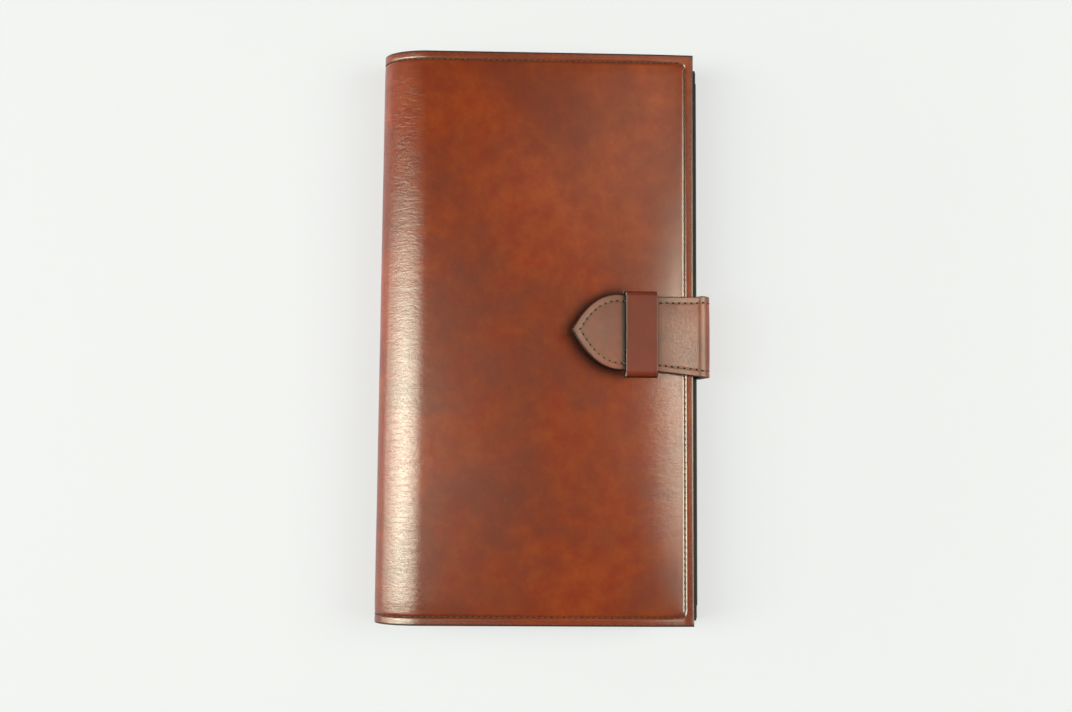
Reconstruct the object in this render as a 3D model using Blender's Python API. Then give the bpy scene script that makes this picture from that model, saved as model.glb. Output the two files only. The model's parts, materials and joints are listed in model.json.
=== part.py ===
"""Long wallet with a strap closure: a CAD model for Blender 4.5.

The wallet lies closed on its back cover, +Z up. +Y runs along its length, the
spine is at -X, and the open edge with its strap is at +X. The origin is at the
bottom centre of the closed wallet. All sizes below are in millimetres.
"""
import math

import bmesh
import bpy
from mathutils import Matrix, Vector

MM = 0.001

# Driving dimensions of the closed wallet
LENGTH = 195.0
HEIGHT = 20.0
OVERALL_WIDTH = 112.7      # spine to the outside of the strap
FRONT_WIDTH = 107.0        # spine to the front cover's free edge
BACK_WIDTH = 110.3         # spine to the back cover's free edge
BEND_REACH = 16.0          # half axis of the spine's elliptic bend, across
SPLIT_ANGLE = math.asin(0.75)  # where the bend is parted at each fold line
CORNER_RADIUS = 1.5

# Thicknesses and gaps
LEATHER = 1.8
LINING = 0.9
PANEL = 1.0
SLOT = 0.8
PLY_GAP = 0.1              # between plies that are sewn flat together
FIT_GAP = 0.3              # between pieces that touch

# Stitch lines
STITCH_INSET = 3.0
THREAD_WIDTH = 0.6
THREAD_THICK = 0.3
THREAD_DEPTH = 0.1
GROOVE_DEPTH = 0.5
GROOVE_WIDTH = 0.8

# Strap
STRAP_OUTER_PLY = 1.1
STRAP_LINING_PLY = 0.9
STRAP_THICK = STRAP_OUTER_PLY + PLY_GAP + STRAP_LINING_PLY
STRAP_ROOT_PLY = 1.0
STRAP_HALF_WIDTH = 13.8
STRAP_ROOT_X = 19.5
STRAP_STITCH_INSET = 2.2
ROOT_CORNER = 2.3          # outer radius where the strap leaves the back cover
WRAP_FOOT = 2.5            # height at which the upright wrap starts
TONGUE_CORNER = 4.0        # outer radius where the strap turns over the top
WRAP_END = math.radians(42)       # the top corner is parted either side of 45 degrees
TONGUE_START = math.radians(48)
TONGUE_TOP = 22.5
TONGUE_TIP_X = 9.35
TONGUE_TIP_RISE = 3.0
SHOULDER_X = 25.15         # where the tongue's pointed end begins

# Keeper
KEEPER_X = (27.35, 37.75)
KEEPER_HALF_WIDTH = 14.3
KEEPER_THICK = 1.1
KEEPER_TOP = 24.0
KEEPER_TAB = 4.3
KEEPER_TAB_THICK = 0.5

# Coin pouch and its zip
POUCH_X = (-34.0, 50.5)
POUCH_HALF_LENGTH = 88.5
POUCH_BASE_TOP = 5.4
POUCH_FRONT_BOTTOM = 9.3
ZIP_HALF_LENGTH = 84.0
TEETH_X = (-36.4, -34.9)
TOOTH_PITCH = 2.4
TOOTH_WIDTH = 1.0
SLIDER_HALF_LENGTH = 4.5
SLIDER_Y = 79.0
PULL_LENGTH = 9.0
PULL_X = -38.6

# Places that follow from the driving dimensions
SPINE_X = -OVERALL_WIDTH / 2
STRAP_X = OVERALL_WIDTH / 2
BEND_X = SPINE_X + BEND_REACH
BEND_RISE = HEIGHT / 2
FRONT_EDGE = SPINE_X + FRONT_WIDTH
BACK_EDGE = SPINE_X + BACK_WIDTH
HALF_LENGTH = LENGTH / 2
STITCH_Y = HALF_LENGTH - STITCH_INSET
FRONT_STITCH = FRONT_EDGE - STITCH_INSET
BACK_STITCH = BACK_EDGE - STITCH_INSET
SPLIT_GAP_ANGLE = math.radians(0.9)
CUT_SPARE = 0.05           # radians that a cutter runs on past the end of a bend
ZIP_Z = (POUCH_BASE_TOP + POUCH_FRONT_BOTTOM) / 2
PARTS = "long_wallet"
CUTTERS = "cutters"


# ---------------------------------------------------------------- scene helpers

def clear_scene():
    """Remove every object, mesh, curve, material and collection."""
    for item in list(bpy.data.objects):
        bpy.data.objects.remove(item, do_unlink=True)
    for group in (bpy.data.meshes, bpy.data.curves, bpy.data.materials):
        for item in list(group):
            group.remove(item)
    for item in list(bpy.data.collections):
        bpy.data.collections.remove(item)


def add_collections():
    """One collection for the wallet's pieces and one for the shapes that cut them."""
    for name in (PARTS, CUTTERS):
        group = bpy.data.collections.new(name)
        bpy.context.scene.collection.children.link(group)


def principled(name, colour, roughness, metallic=0.0):
    """A plain Principled material."""
    material = bpy.data.materials.new(name)
    material.use_nodes = True
    shader = material.node_tree.nodes["Principled BSDF"]
    shader.inputs["Base Color"].default_value = (*colour, 1.0)
    shader.inputs["Roughness"].default_value = roughness
    shader.inputs["Metallic"].default_value = metallic
    return material


def file_piece(piece, material=None, joint=None):
    """Put a piece in the wallet's collection, with its material and its joint's empty."""
    for group in list(piece.users_collection):
        group.objects.unlink(piece)
    bpy.data.collections[PARTS].objects.link(piece)
    piece.data.materials.clear()
    piece.data.materials.append(material)
    if joint is not None:
        piece.parent = joint
        piece.matrix_parent_inverse = Matrix.Translation(-joint.location)
    return piece


def file_cutter(cutter):
    """Put a cutting shape in the cutters' collection, hidden from renders."""
    for group in list(cutter.users_collection):
        group.objects.unlink(cutter)
    bpy.data.collections[CUTTERS].objects.link(cutter)
    cutter.hide_render = True
    cutter.display_type = "WIRE"
    return cutter


def boolean(target, tool, operation="DIFFERENCE"):
    """Add a Boolean modifier whose tool stays in the cutters' collection."""
    modifier = target.modifiers.new(operation.lower(), "BOOLEAN")
    modifier.operation = operation
    modifier.solver = "EXACT"
    modifier.object = tool
    return target


def joint_empty(name, x, z, y=0.0):
    """An empty on a joint's axis, which the joint's pieces hang from."""
    empty = bpy.data.objects.new(name, None)
    empty.location = Vector((x, y, z)) * MM
    empty.empty_display_size = 10 * MM
    bpy.data.collections[PARTS].objects.link(empty)
    return empty


# --------------------------------------------------------------- shape helpers

ACROSS = Matrix.Rotation(math.radians(90), 4, "X")           # outline in XZ, depth along Y
ALONG = Matrix(((0, 0, 1, 0), (1, 0, 0, 0), (0, 1, 0, 0), (0, 0, 0, 1)))  # outline in YZ
FLAT = Matrix.Identity(4)                                    # outline in XY, depth along Z


def extrude_outline(name, points, low, high, turn):
    """A closed solid from a flat outline, between two depths along the outline's normal."""
    curve = bpy.data.curves.new(name, "CURVE")
    curve.dimensions = "2D"
    curve.fill_mode = "BOTH"
    curve.extrude = (high - low) / 2 * MM
    spline = curve.splines.new("POLY")
    spline.points.add(len(points) - 1)
    for point, (u, v) in zip(spline.points, points):
        point.co = (u * MM, v * MM, 0.0, 1.0)
    spline.use_cyclic_u = True
    guide = bpy.data.objects.new(name + "_outline", curve)
    bpy.context.scene.collection.objects.link(guide)
    guide.matrix_world = turn @ Matrix.Translation((0, 0, (low + high) / 2 * MM))
    bpy.context.view_layer.update()
    evaluated = guide.evaluated_get(bpy.context.evaluated_depsgraph_get())
    mesh = bpy.data.meshes.new_from_object(evaluated)
    mesh.name = name
    weld(mesh)
    solid = bpy.data.objects.new(name, mesh)
    solid.matrix_world = guide.matrix_world.copy()
    bpy.data.objects.remove(guide, do_unlink=True)
    bpy.data.curves.remove(curve)
    bpy.context.scene.collection.objects.link(solid)
    return solid


def weld(mesh):
    """Join a mesh's loose caps to its sides and point its faces outwards."""
    work = bmesh.new()
    work.from_mesh(mesh)
    bmesh.ops.remove_doubles(work, verts=work.verts, dist=0.001 * MM)
    bmesh.ops.recalc_face_normals(work, faces=work.faces)
    work.to_mesh(mesh)
    work.free()


def across(name, points, half_length, middle=0.0):
    """A solid from an outline in XZ, centred on a place along Y."""
    return extrude_outline(name, points, -middle - half_length, -middle + half_length, ACROSS)


def box(name, x, y, z):
    """A box between two limits on each axis."""
    size = [high - low for low, high in (x, y, z)]
    middle = [(high + low) / 2 for low, high in (x, y, z)]
    bpy.ops.mesh.primitive_cube_add(size=1.0)
    solid = bpy.context.object
    solid.name = name
    solid.data.name = name
    solid.data.transform(Matrix.Diagonal((*[s * MM for s in size], 1.0)))
    solid.location = Vector(middle) * MM
    return solid


def cylinder(name, radius, x, y, z, sides=16):
    """An upright cylinder between two heights."""
    bpy.ops.mesh.primitive_cylinder_add(
        vertices=sides, radius=radius * MM, depth=(z[1] - z[0]) * MM)
    solid = bpy.context.object
    solid.name = name
    solid.location = Vector((x, y, (z[0] + z[1]) / 2)) * MM
    return solid


def arc(centre, radius, start, end, steps):
    """Points on an arc, with both ends."""
    angles = [start + (end - start) * i / steps for i in range(steps + 1)]
    return [(centre[0] + radius * math.cos(a), centre[1] + radius * math.sin(a)) for a in angles]


def rounded_rectangle(x, y, radius=CORNER_RADIUS):
    """An outline with four rounded corners."""
    corners = ((x[1], y[1], 0), (x[0], y[1], 90), (x[0], y[0], 180), (x[1], y[0], 270))
    points = []
    for corner_x, corner_y, angle in corners:
        side_x = -1 if corner_x == x[1] else 1
        side_y = -1 if corner_y == y[1] else 1
        centre = (corner_x + side_x * radius, corner_y + side_y * radius)
        points += arc(centre, radius, math.radians(angle), math.radians(angle + 90), 4)
    return points


def panel(name, x, half_length, z, material, joint=None):
    """A flat leather sheet with rounded corners."""
    outline = rounded_rectangle(x, (-half_length, half_length))
    return file_piece(extrude_outline(name, outline, *z, FLAT), material, joint)


def inset(points, distance):
    """A closed outline moved inwards, with mitred corners. Points run anticlockwise."""
    moved = []
    for i, here in enumerate(points):
        before = Vector(here) - Vector(points[i - 1])
        after = Vector(points[(i + 1) % len(points)]) - Vector(here)
        normal_before = Vector((-before.y, before.x)).normalized()
        normal_after = Vector((-after.y, after.x)).normalized()
        middle = (normal_before + normal_after).normalized()
        moved.append(tuple(Vector(here) + middle * distance / middle.dot(normal_before)))
    return moved


def round_edge_corners(piece, edge_x):
    """Round the two upright corners of a cover's free edge."""
    work = bmesh.new()
    work.from_mesh(piece.data)
    corners = []
    for edge in work.edges:
        first, second = (piece.matrix_world @ vert.co for vert in edge.verts)
        at_edge = abs(first.x - edge_x * MM) < 1e-6 and abs(second.x - edge_x * MM) < 1e-6
        if at_edge and abs(first.y - second.y) < 1e-6:
            corners.append(edge)
    bmesh.ops.bevel(work, geom=corners, offset=CORNER_RADIUS * MM, segments=4,
                    profile=0.5, affect="EDGES")
    work.to_mesh(piece.data)
    work.free()


# ------------------------------------------------------- the covers' cross-section

def bend_point(angle, depth):
    """A point on the spine's bend: 0 is under its start, pi over it, depth runs inwards."""
    out = Vector((-math.sin(angle) / BEND_REACH, -math.cos(angle) / BEND_RISE)).normalized()
    x = BEND_X - BEND_REACH * math.sin(angle)
    z = BEND_RISE - BEND_RISE * math.cos(angle)
    return (x - depth * out.x, z - depth * out.y)


def bend_path(depth, start, end, steps):
    """Points on the bend between two angles."""
    angles = [start + (end - start) * i / steps for i in range(steps + 1)]
    return [bend_point(a, depth) for a in angles]


def back_section(low, high, edge, spare=0.0):
    """Outline of a back-cover ply between two depths, out to its free edge."""
    end = SPLIT_ANGLE - SPLIT_GAP_ANGLE + spare
    outer = [(edge, low)] + bend_path(low, 0.0, end, 8)
    inner = [(edge, high)] + bend_path(high, 0.0, end, 8)
    return outer + inner[::-1]


def spine_section(low, high, spare=0.0):
    """Outline of a spine ply between two depths."""
    start = SPLIT_ANGLE + SPLIT_GAP_ANGLE - spare
    end = math.pi - start
    return bend_path(low, start, end, 14) + bend_path(high, start, end, 14)[::-1]


def front_section(low, high, edge, spare=0.0):
    """Outline of a front-cover ply between two depths, out to its free edge."""
    return [(x, HEIGHT - z) for x, z in back_section(low, high, edge, spare)]


def stitch_loop(name, section, stitch_x, width, low, high, spare=0.0):
    """A band round three sides of a cover: a groove's cutter, or the thread in it."""
    outline = section(low, high, stitch_x + width / 2, spare)
    band = across(name, outline, STITCH_Y + width / 2)
    middle = box(
        name + "_middle", (SPINE_X - 10, stitch_x - width / 2),
        (-STITCH_Y + width / 2, STITCH_Y - width / 2), (-5, HEIGHT + 5))
    return boolean(band, file_cutter(middle))


def thread_loop(name, section, stitch_x):
    return stitch_loop(
        name, section, stitch_x, THREAD_WIDTH, THREAD_DEPTH, THREAD_DEPTH + THREAD_THICK)


def groove_loop(name, section, stitch_x):
    loop = stitch_loop(
        name, section, stitch_x, GROOVE_WIDTH, -PLY_GAP, GROOVE_DEPTH, CUT_SPARE)
    return file_cutter(loop)


# ------------------------------------------------------------------ back half

def make_back_cover(leather, lining, thread):
    outer = across("outer_back", back_section(0.0, LEATHER, BACK_EDGE), HALF_LENGTH)
    round_edge_corners(outer, BACK_EDGE)
    boolean(outer, groove_loop("back_groove", back_section, BACK_STITCH))
    half = STRAP_HALF_WIDTH + FIT_GAP
    recess = box("strap_recess", (STRAP_ROOT_X - FIT_GAP, BACK_EDGE + 5), (-half, half),
                 (-5, STRAP_ROOT_PLY + PLY_GAP))
    boolean(outer, file_cutter(recess))
    file_piece(outer, leather)
    low = LEATHER + PLY_GAP
    inner = across("lining_back", back_section(low, low + LINING, BACK_EDGE), HALF_LENGTH)
    file_piece(inner, lining)
    for name, side in (("head", 1), ("foot", -1)):
        stitches = thread_loop(f"thread_back_{name}", back_section, BACK_STITCH)
        beyond = sorted((side * half, -side * HALF_LENGTH))
        rest = box(f"beyond_{name}", (SPINE_X - 10, STRAP_X), beyond, (-5, HEIGHT))
        boolean(stitches, file_cutter(rest))
        file_piece(stitches, thread)


def make_bill_panel_back(lining):
    low = LEATHER + PLY_GAP + LINING + 0.4
    panel("bill_panel_back", (-38.5, BACK_EDGE), 96.5, (low, low + PANEL), lining)


def make_pouch(lining, leather):
    """A flat coin pouch: two walls held apart by folded gussets on three sides."""
    base = (POUCH_BASE_TOP - LINING, POUCH_BASE_TOP)
    panel("pouch_base", (POUCH_X[0], BACK_EDGE), 92.0, base, lining)
    front = (POUCH_FRONT_BOTTOM, POUCH_FRONT_BOTTOM + SLOT)
    panel("pouch_front", POUCH_X, POUCH_HALF_LENGTH, front, leather)
    fold = folded_strip(POUCH_HALF_LENGTH - 0.5)
    for name, side in (("pouch_gusset_head", 1), ("pouch_gusset_foot", -1)):
        points = [(side * y, z) for y, z in fold]
        file_piece(extrude_outline(name, points, -33.0, 45.0, ALONG), lining)
    edge = across("pouch_gusset_edge", folded_strip(POUCH_X[1] - 0.5), POUCH_HALF_LENGTH - 0.5)
    file_piece(edge, lining)


def folded_strip(rim):
    """Outline of a strip folded inwards between the pouch's walls."""
    low = POUCH_BASE_TOP + PLY_GAP
    high = POUCH_FRONT_BOTTOM - PLY_GAP
    thick = 0.5
    return [
        (rim, low), (rim, low + thick), (rim - 2.8, ZIP_Z), (rim, high - thick),
        (rim, high), (rim - 3.8, ZIP_Z),
    ]


# ------------------------------------------------------------------------ zip

def comb(upward):
    """Outline in YZ of one row of teeth: a bead with a tooth at every pitch."""
    sign = 1 if upward else -1
    root = ZIP_Z - sign * 1.6
    bead = ZIP_Z - sign * 0.5
    tip = ZIP_Z + sign * 0.4
    count = int(2 * (ZIP_HALF_LENGTH - 1.2) / TOOTH_PITCH)
    shift = 0.0 if upward else TOOTH_PITCH / 2
    first = -count * TOOTH_PITCH / 2 + shift
    points = [(-ZIP_HALF_LENGTH, root), (-ZIP_HALF_LENGTH, bead)]
    for i in range(count):
        left = first + i * TOOTH_PITCH
        points += [(left, bead), (left, tip), (left + TOOTH_WIDTH, tip), (left + TOOTH_WIDTH, bead)]
    return points + [(ZIP_HALF_LENGTH, bead), (ZIP_HALF_LENGTH, root)]


def tape_section(upward):
    """Outline in XZ of a zip tape: flat on the pouch's wall, turned in to its teeth."""
    sign = 1 if upward else -1
    wall = ZIP_Z - sign * (ZIP_Z - POUCH_BASE_TOP - PLY_GAP)
    turned = ZIP_Z - sign * 0.3
    inner = wall + sign * 0.5
    left = TEETH_X[1] + PLY_GAP
    right = left + 0.5
    return [
        (-20.0, wall), (left + 0.4, wall), (left, wall + sign * 0.4), (left, turned),
        (right, turned), (right, inner), (-20.0, inner),
    ]


def make_zip(metal, tape):
    for name, upward in (("lower", True), ("upper", False)):
        teeth = extrude_outline(f"zip_teeth_{name}", comb(upward), *TEETH_X, ALONG)
        file_piece(teeth, metal)
        cloth = across(f"zip_tape_{name}", tape_section(upward), 83.0)
        file_piece(cloth, tape)
    for name, side in (("head", 1), ("foot", -1)):
        ends = sorted((side * (ZIP_HALF_LENGTH + 0.3), side * (ZIP_HALF_LENGTH + 2.1)))
        stop = box(f"zip_stop_{name}", TEETH_X, ends, (ZIP_Z - 1.6, ZIP_Z + 1.6))
        file_piece(stop, metal)


def make_slider(metal, joint):
    """A C-shaped slider round the closed teeth, with two ears for the pull's pin."""
    y = (SLIDER_Y - SLIDER_HALF_LENGTH, SLIDER_Y + SLIDER_HALF_LENGTH)
    rear = TEETH_X[0] - FIT_GAP
    front = rear - 0.9
    flange = TEETH_X[1]
    high = 2.6
    lip = 0.7
    points = [
        (front + 0.3, ZIP_Z - high), (flange, ZIP_Z - high), (flange, ZIP_Z - high + lip),
        (rear, ZIP_Z - high + lip), (rear, ZIP_Z + high - lip), (flange, ZIP_Z + high - lip),
        (flange, ZIP_Z + high), (front + 0.3, ZIP_Z + high), (front, ZIP_Z + high - 0.3),
        (front, ZIP_Z - high + 0.3),
    ]
    slider = across("zip_slider", points, SLIDER_HALF_LENGTH, SLIDER_Y)
    for side in (1, -1):
        ends = sorted((ZIP_Z + side * 1.7, ZIP_Z + side * 2.4))
        ear = box("slider_ear", (PULL_X - 1.0, front + 0.2), (SLIDER_Y - 1.0, SLIDER_Y + 1.0), ends)
        boolean(slider, file_cutter(ear), "UNION")
    bore = cylinder("slider_bore", 0.65, PULL_X, SLIDER_Y, (ZIP_Z - 3, ZIP_Z + 3))
    boolean(slider, file_cutter(bore))
    file_piece(slider, metal, joint)


def make_pull(metal, joint):
    """A flat tab that hangs on a pin between the slider's ears."""
    half = 0.4
    end = SLIDER_Y - PULL_LENGTH
    pull = box("zip_pull", (PULL_X - half, PULL_X + half), (end, SLIDER_Y), (ZIP_Z - 1.4, ZIP_Z + 1.4))
    pin = cylinder("pull_pin", 0.35, PULL_X, SLIDER_Y, (ZIP_Z - 2.3, ZIP_Z + 2.3), 12)
    boolean(pull, file_cutter(pin), "UNION")
    hole = box("pull_hole", (PULL_X - 1, PULL_X + 1), (end + 1.2, end + 4.2), (ZIP_Z - 0.6, ZIP_Z + 0.6))
    boolean(pull, file_cutter(hole))
    file_piece(pull, metal, joint)


# ---------------------------------------------------------------------- spine

def make_spine(leather, lining, thread, joint):
    outer = across("outer_spine", spine_section(0.0, LEATHER), HALF_LENGTH)
    low = LEATHER + PLY_GAP
    inner = across("lining_spine", spine_section(low, low + LINING), HALF_LENGTH)
    file_piece(inner, lining, joint)
    for name, side in (("head", 1), ("foot", -1)):
        slot = spine_section(-PLY_GAP, GROOVE_DEPTH, CUT_SPARE)
        groove = across(f"spine_groove_{name}", slot, GROOVE_WIDTH / 2, side * STITCH_Y)
        boolean(outer, file_cutter(groove))
        ends = spine_section(THREAD_DEPTH, THREAD_DEPTH + THREAD_THICK)
        stitches = across(f"thread_spine_{name}", ends, THREAD_WIDTH / 2, side * STITCH_Y)
        file_piece(stitches, thread, joint)
    file_piece(outer, leather, joint)


# ----------------------------------------------------------------- front half

def make_front_cover(leather, lining, thread, joint):
    outer = across("outer_front", front_section(0.0, LEATHER, FRONT_EDGE), HALF_LENGTH)
    round_edge_corners(outer, FRONT_EDGE)
    boolean(outer, groove_loop("front_groove", front_section, FRONT_STITCH))
    for side in (1, -1):
        boolean(outer, keeper_slit(side))
        boolean(outer, keeper_recess(side))
    file_piece(outer, leather, joint)
    low = LEATHER + PLY_GAP
    inner = across("lining_front", front_section(low, low + LINING, FRONT_EDGE), HALF_LENGTH)
    file_piece(inner, lining, joint)
    stitches = thread_loop("thread_cover_front", front_section, FRONT_STITCH)
    file_piece(stitches, thread, joint)


def keeper_slit(side):
    """The slot through the cover that one leg of the keeper passes."""
    inner = KEEPER_HALF_WIDTH - KEEPER_THICK - FIT_GAP
    y = sorted((side * inner, side * (KEEPER_HALF_WIDTH + FIT_GAP)))
    x = (KEEPER_X[0] - 0.8, KEEPER_X[1] + 0.8)
    return file_cutter(box("keeper_slit", x, y, (HEIGHT - LEATHER - 1, HEIGHT + 1)))


def keeper_recess(side):
    """The shallow recess under the cover that one sewn tab of the keeper lies in."""
    outer = KEEPER_HALF_WIDTH + KEEPER_TAB + FIT_GAP
    y = sorted((side * (KEEPER_HALF_WIDTH - KEEPER_THICK - FIT_GAP), side * outer))
    x = (KEEPER_X[0] - 0.5, KEEPER_X[1] + 0.5)
    under = HEIGHT - LEATHER
    return file_cutter(box("keeper_recess", x, y, (under - 1, under + KEEPER_TAB_THICK + 0.3)))


def make_keeper(leather, joint):
    """A band over the strap whose ends turn outwards under the cover."""
    low = HEIGHT - LEATHER + 0.1
    tab = low + KEEPER_TAB_THICK
    outer = KEEPER_HALF_WIDTH
    inner = outer - KEEPER_THICK
    quarter = math.radians(90)
    crown = arc((outer - 1.2, KEEPER_TOP - 1.2), 1.2, 0.0, quarter, 4)
    throat = arc((inner - 0.4, KEEPER_TOP - KEEPER_THICK - 0.4), 0.4, 0.0, quarter, 2)
    outside = [(outer + KEEPER_TAB, low), (outer + KEEPER_TAB, tab), (outer, tab)] + crown
    inside = [(inner, low)] + throat
    left_outside = [(-y, z) for y, z in outside[::-1]]
    left_inside = [(-y, z) for y, z in inside]
    points = outside + left_outside + left_inside + inside[::-1]
    file_piece(extrude_outline("keeper_loop", points, *KEEPER_X, ALONG), leather, joint)


def make_front_pockets(lining, leather, thread, joint):
    high = HEIGHT - LEATHER - PLY_GAP - LINING - 0.4
    edge = FRONT_EDGE - 0.3
    panel("bill_panel_front", (-38.5, edge), 96.5, (high - PANEL, high), lining, joint)
    step = 12.0
    first = -36.5
    for i in range(4):
        number = 4 - i
        top = high - PANEL - 0.4 - i * (SLOT + 0.2)
        x = (first + i * step, edge)
        panel(f"card_slot_{number}", x, 95.5, (top - SLOT, top), leather, joint)
    face = high - PANEL - 0.4 - 3 * (SLOT + 0.2) - SLOT
    line = box("thread_slot_divider", (first + 3 * step + 1.5, edge - 1.5),
               (-THREAD_WIDTH / 2, THREAD_WIDTH / 2), (face - PLY_GAP - 0.2, face - PLY_GAP))
    file_piece(line, thread, joint)


# ---------------------------------------------------------------------- strap

def strap_root_path(depth, spare=0.0):
    """The root's outer face, a depth inside it, from under the cover up to the wrap."""
    centre = (STRAP_X - ROOT_CORNER, ROOT_CORNER)
    corner = arc(centre, ROOT_CORNER - depth, math.radians(-90), 0.0, 6)
    return corner + [(STRAP_X - depth, WRAP_FOOT - PLY_GAP + spare)]


def make_strap_root(leather, thread):
    """The strap's sewn end, let into the back cover, and its turn up at the edge."""
    inner = STRAP_X - STRAP_THICK
    points = [(STRAP_ROOT_X, 0.0)] + strap_root_path(0.0)
    points += [(inner, WRAP_FOOT - PLY_GAP), (inner, STRAP_ROOT_PLY), (STRAP_ROOT_X, STRAP_ROOT_PLY)]
    root = across("strap_root", points, STRAP_HALF_WIDTH)
    groove = root_stitches("root_groove", GROOVE_WIDTH, -PLY_GAP, GROOVE_DEPTH, 1.0)
    boolean(root, file_cutter(groove))
    file_piece(root, leather)
    stitches = root_stitches("thread_strap_root", THREAD_WIDTH, THREAD_DEPTH,
                             THREAD_DEPTH + THREAD_THICK)
    file_piece(stitches, thread)


def root_stitches(name, width, low, high, spare=0.0):
    """A band along both sides and the end of the strap's root."""
    line_x = STRAP_ROOT_X + STRAP_STITCH_INSET
    line_y = STRAP_HALF_WIDTH - STRAP_STITCH_INSET
    outer = [(line_x - width / 2, low)] + strap_root_path(low, spare)
    inner = [(line_x - width / 2, high)] + strap_root_path(high, spare)
    band = across(name, outer + inner[::-1], line_y + width / 2)
    middle = box(name + "_middle", (line_x + width / 2, STRAP_X + 5),
                 (-line_y + width / 2, line_y - width / 2), (-5, 5))
    return boolean(band, file_cutter(middle))


def wrap_path(depth, spare):
    """The wrap's outer face, a depth inside it, from its foot to the middle of the top corner."""
    centre = (STRAP_X - TONGUE_CORNER, TONGUE_TOP - TONGUE_CORNER)
    corner = arc(centre, TONGUE_CORNER - depth, 0.0, WRAP_END + spare, 5)
    return [(STRAP_X - depth, WRAP_FOOT - 10 * spare)] + corner


def wrap_section(low, high, spare=0.0):
    return wrap_path(low, spare) + wrap_path(high, spare)[::-1]


def make_wrap(leather, lining, thread, joint):
    """The strap's upright stretch, round the wallet's open edge."""
    outer = across("strap_wrap_outer", wrap_section(0.0, STRAP_OUTER_PLY), STRAP_HALF_WIDTH)
    low = STRAP_OUTER_PLY + PLY_GAP
    inner = across("strap_wrap_lining", wrap_section(low, STRAP_THICK), STRAP_HALF_WIDTH)
    file_piece(inner, lining, joint)
    line_y = STRAP_HALF_WIDTH - STRAP_STITCH_INSET
    for name, side in (("head", 1), ("foot", -1)):
        slot = wrap_section(-PLY_GAP, GROOVE_DEPTH, CUT_SPARE)
        groove = across(f"wrap_groove_{name}", slot, GROOVE_WIDTH / 2, side * line_y)
        boolean(outer, file_cutter(groove))
        band = wrap_section(THREAD_DEPTH, THREAD_DEPTH + THREAD_THICK)
        stitches = across(f"thread_wrap_{name}", band, THREAD_WIDTH / 2, side * line_y)
        file_piece(stitches, thread, joint)
    file_piece(outer, leather, joint)


def tongue_path(depth, spare):
    """The tongue's outer face, a depth inside it, from the top corner to past its tip."""
    centre = (STRAP_X - TONGUE_CORNER, TONGUE_TOP - TONGUE_CORNER)
    points = arc(centre, TONGUE_CORNER - depth, TONGUE_START - spare, math.pi / 2, 5)
    bend_start = KEEPER_X[0]
    past = TONGUE_TIP_X - 2.0
    for i in range(9):
        x = bend_start + (past - bend_start) * i / 8
        part = (bend_start - x) / (bend_start - TONGUE_TIP_X)
        points.append((x, TONGUE_TOP + TONGUE_TIP_RISE * part ** 1.5 - depth))
    return points


def tongue_centre(x):
    """The tongue lies slightly askew: its middle line's Y at a place along X."""
    start = FRONT_EDGE - 0.5
    return -0.6 + 1.8 * (start - x) / (start - TONGUE_TIP_X)


def tongue_outline():
    """The tongue seen from above, anticlockwise from its far right, with a pointed end."""
    widths = ((62.0, 13.8), (53.5, 13.8), (50.15, 13.4), (38.15, 12.7), (SHOULDER_X, 12.7))
    side = list(widths)
    steps = 8
    bend = TONGUE_TIP_X + 0.42 * (SHOULDER_X - TONGUE_TIP_X)
    for i in range(1, steps):
        t = i / steps
        x = (1 - t) ** 2 * SHOULDER_X + 2 * t * (1 - t) * bend + t * t * TONGUE_TIP_X
        width = 12.7 * ((1 - t) ** 2 + 2 * t * (1 - t))
        side.append((x, width))
    upper = [(x, tongue_centre(x) + width) for x, width in side]
    lower = [(x, tongue_centre(x) - width) for x, width in side]
    return upper + [(TONGUE_TIP_X, tongue_centre(TONGUE_TIP_X))] + lower[::-1]


def tongue_prism(name, distance):
    """The tongue's outline, moved inwards, as a tall cutting shape."""
    points = inset(tongue_outline(), distance)
    return file_cutter(extrude_outline(name, points, 10.0, 35.0, FLAT))


def tongue_layer(name, low, high, distance=0.0, spare=0.0):
    """A ply of the tongue between two depths, trimmed to its outline."""
    points = tongue_path(low, spare) + tongue_path(high, spare)[::-1]
    layer = across(name, points, STRAP_HALF_WIDTH + 3)
    return boolean(layer, tongue_prism(name + "_outline", distance), "INTERSECT")


def tongue_stitches(name, width, low, high, spare=0.0):
    """A band that follows the tongue's outline: a groove's cutter, or the thread in it."""
    band = tongue_layer(name, low, high, STRAP_STITCH_INSET - width / 2, spare)
    middle = tongue_prism(name + "_middle", STRAP_STITCH_INSET + width / 2)
    return boolean(band, middle)


def make_tongue(leather, lining, thread, joint):
    """The strap's free end, which lies over the front cover and through the keeper."""
    outer = tongue_layer("strap_tongue_outer", 0.0, STRAP_OUTER_PLY)
    groove = tongue_stitches(
        "tongue_groove", GROOVE_WIDTH, -PLY_GAP, GROOVE_DEPTH, CUT_SPARE)
    boolean(outer, file_cutter(groove))
    file_piece(outer, leather, joint)
    inner = tongue_layer("strap_tongue_lining", STRAP_OUTER_PLY + PLY_GAP, STRAP_THICK)
    file_piece(inner, lining, joint)
    stitches = tongue_stitches("thread_tongue", THREAD_WIDTH, THREAD_DEPTH,
                               THREAD_DEPTH + THREAD_THICK)
    file_piece(stitches, thread, joint)


# --------------------------------------------------------------------- joints

def quarter_bend_length():
    """Length of the outer face from the start of the bend to the middle of the spine."""
    points = [Vector(p) for p in bend_path(0.0, 0.0, math.pi / 2, 400)]
    return sum((b - a).length for a, b in zip(points, points[1:]))


def cover_fold():
    """The two fold lines: each turns a quarter of the bend flat without stretching it."""
    flat_x = BEND_X - quarter_bend_length()
    x = (flat_x + BEND_RISE + SPINE_X) / 2
    z = (flat_x + BEND_RISE - SPINE_X) / 2
    return x, z


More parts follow.
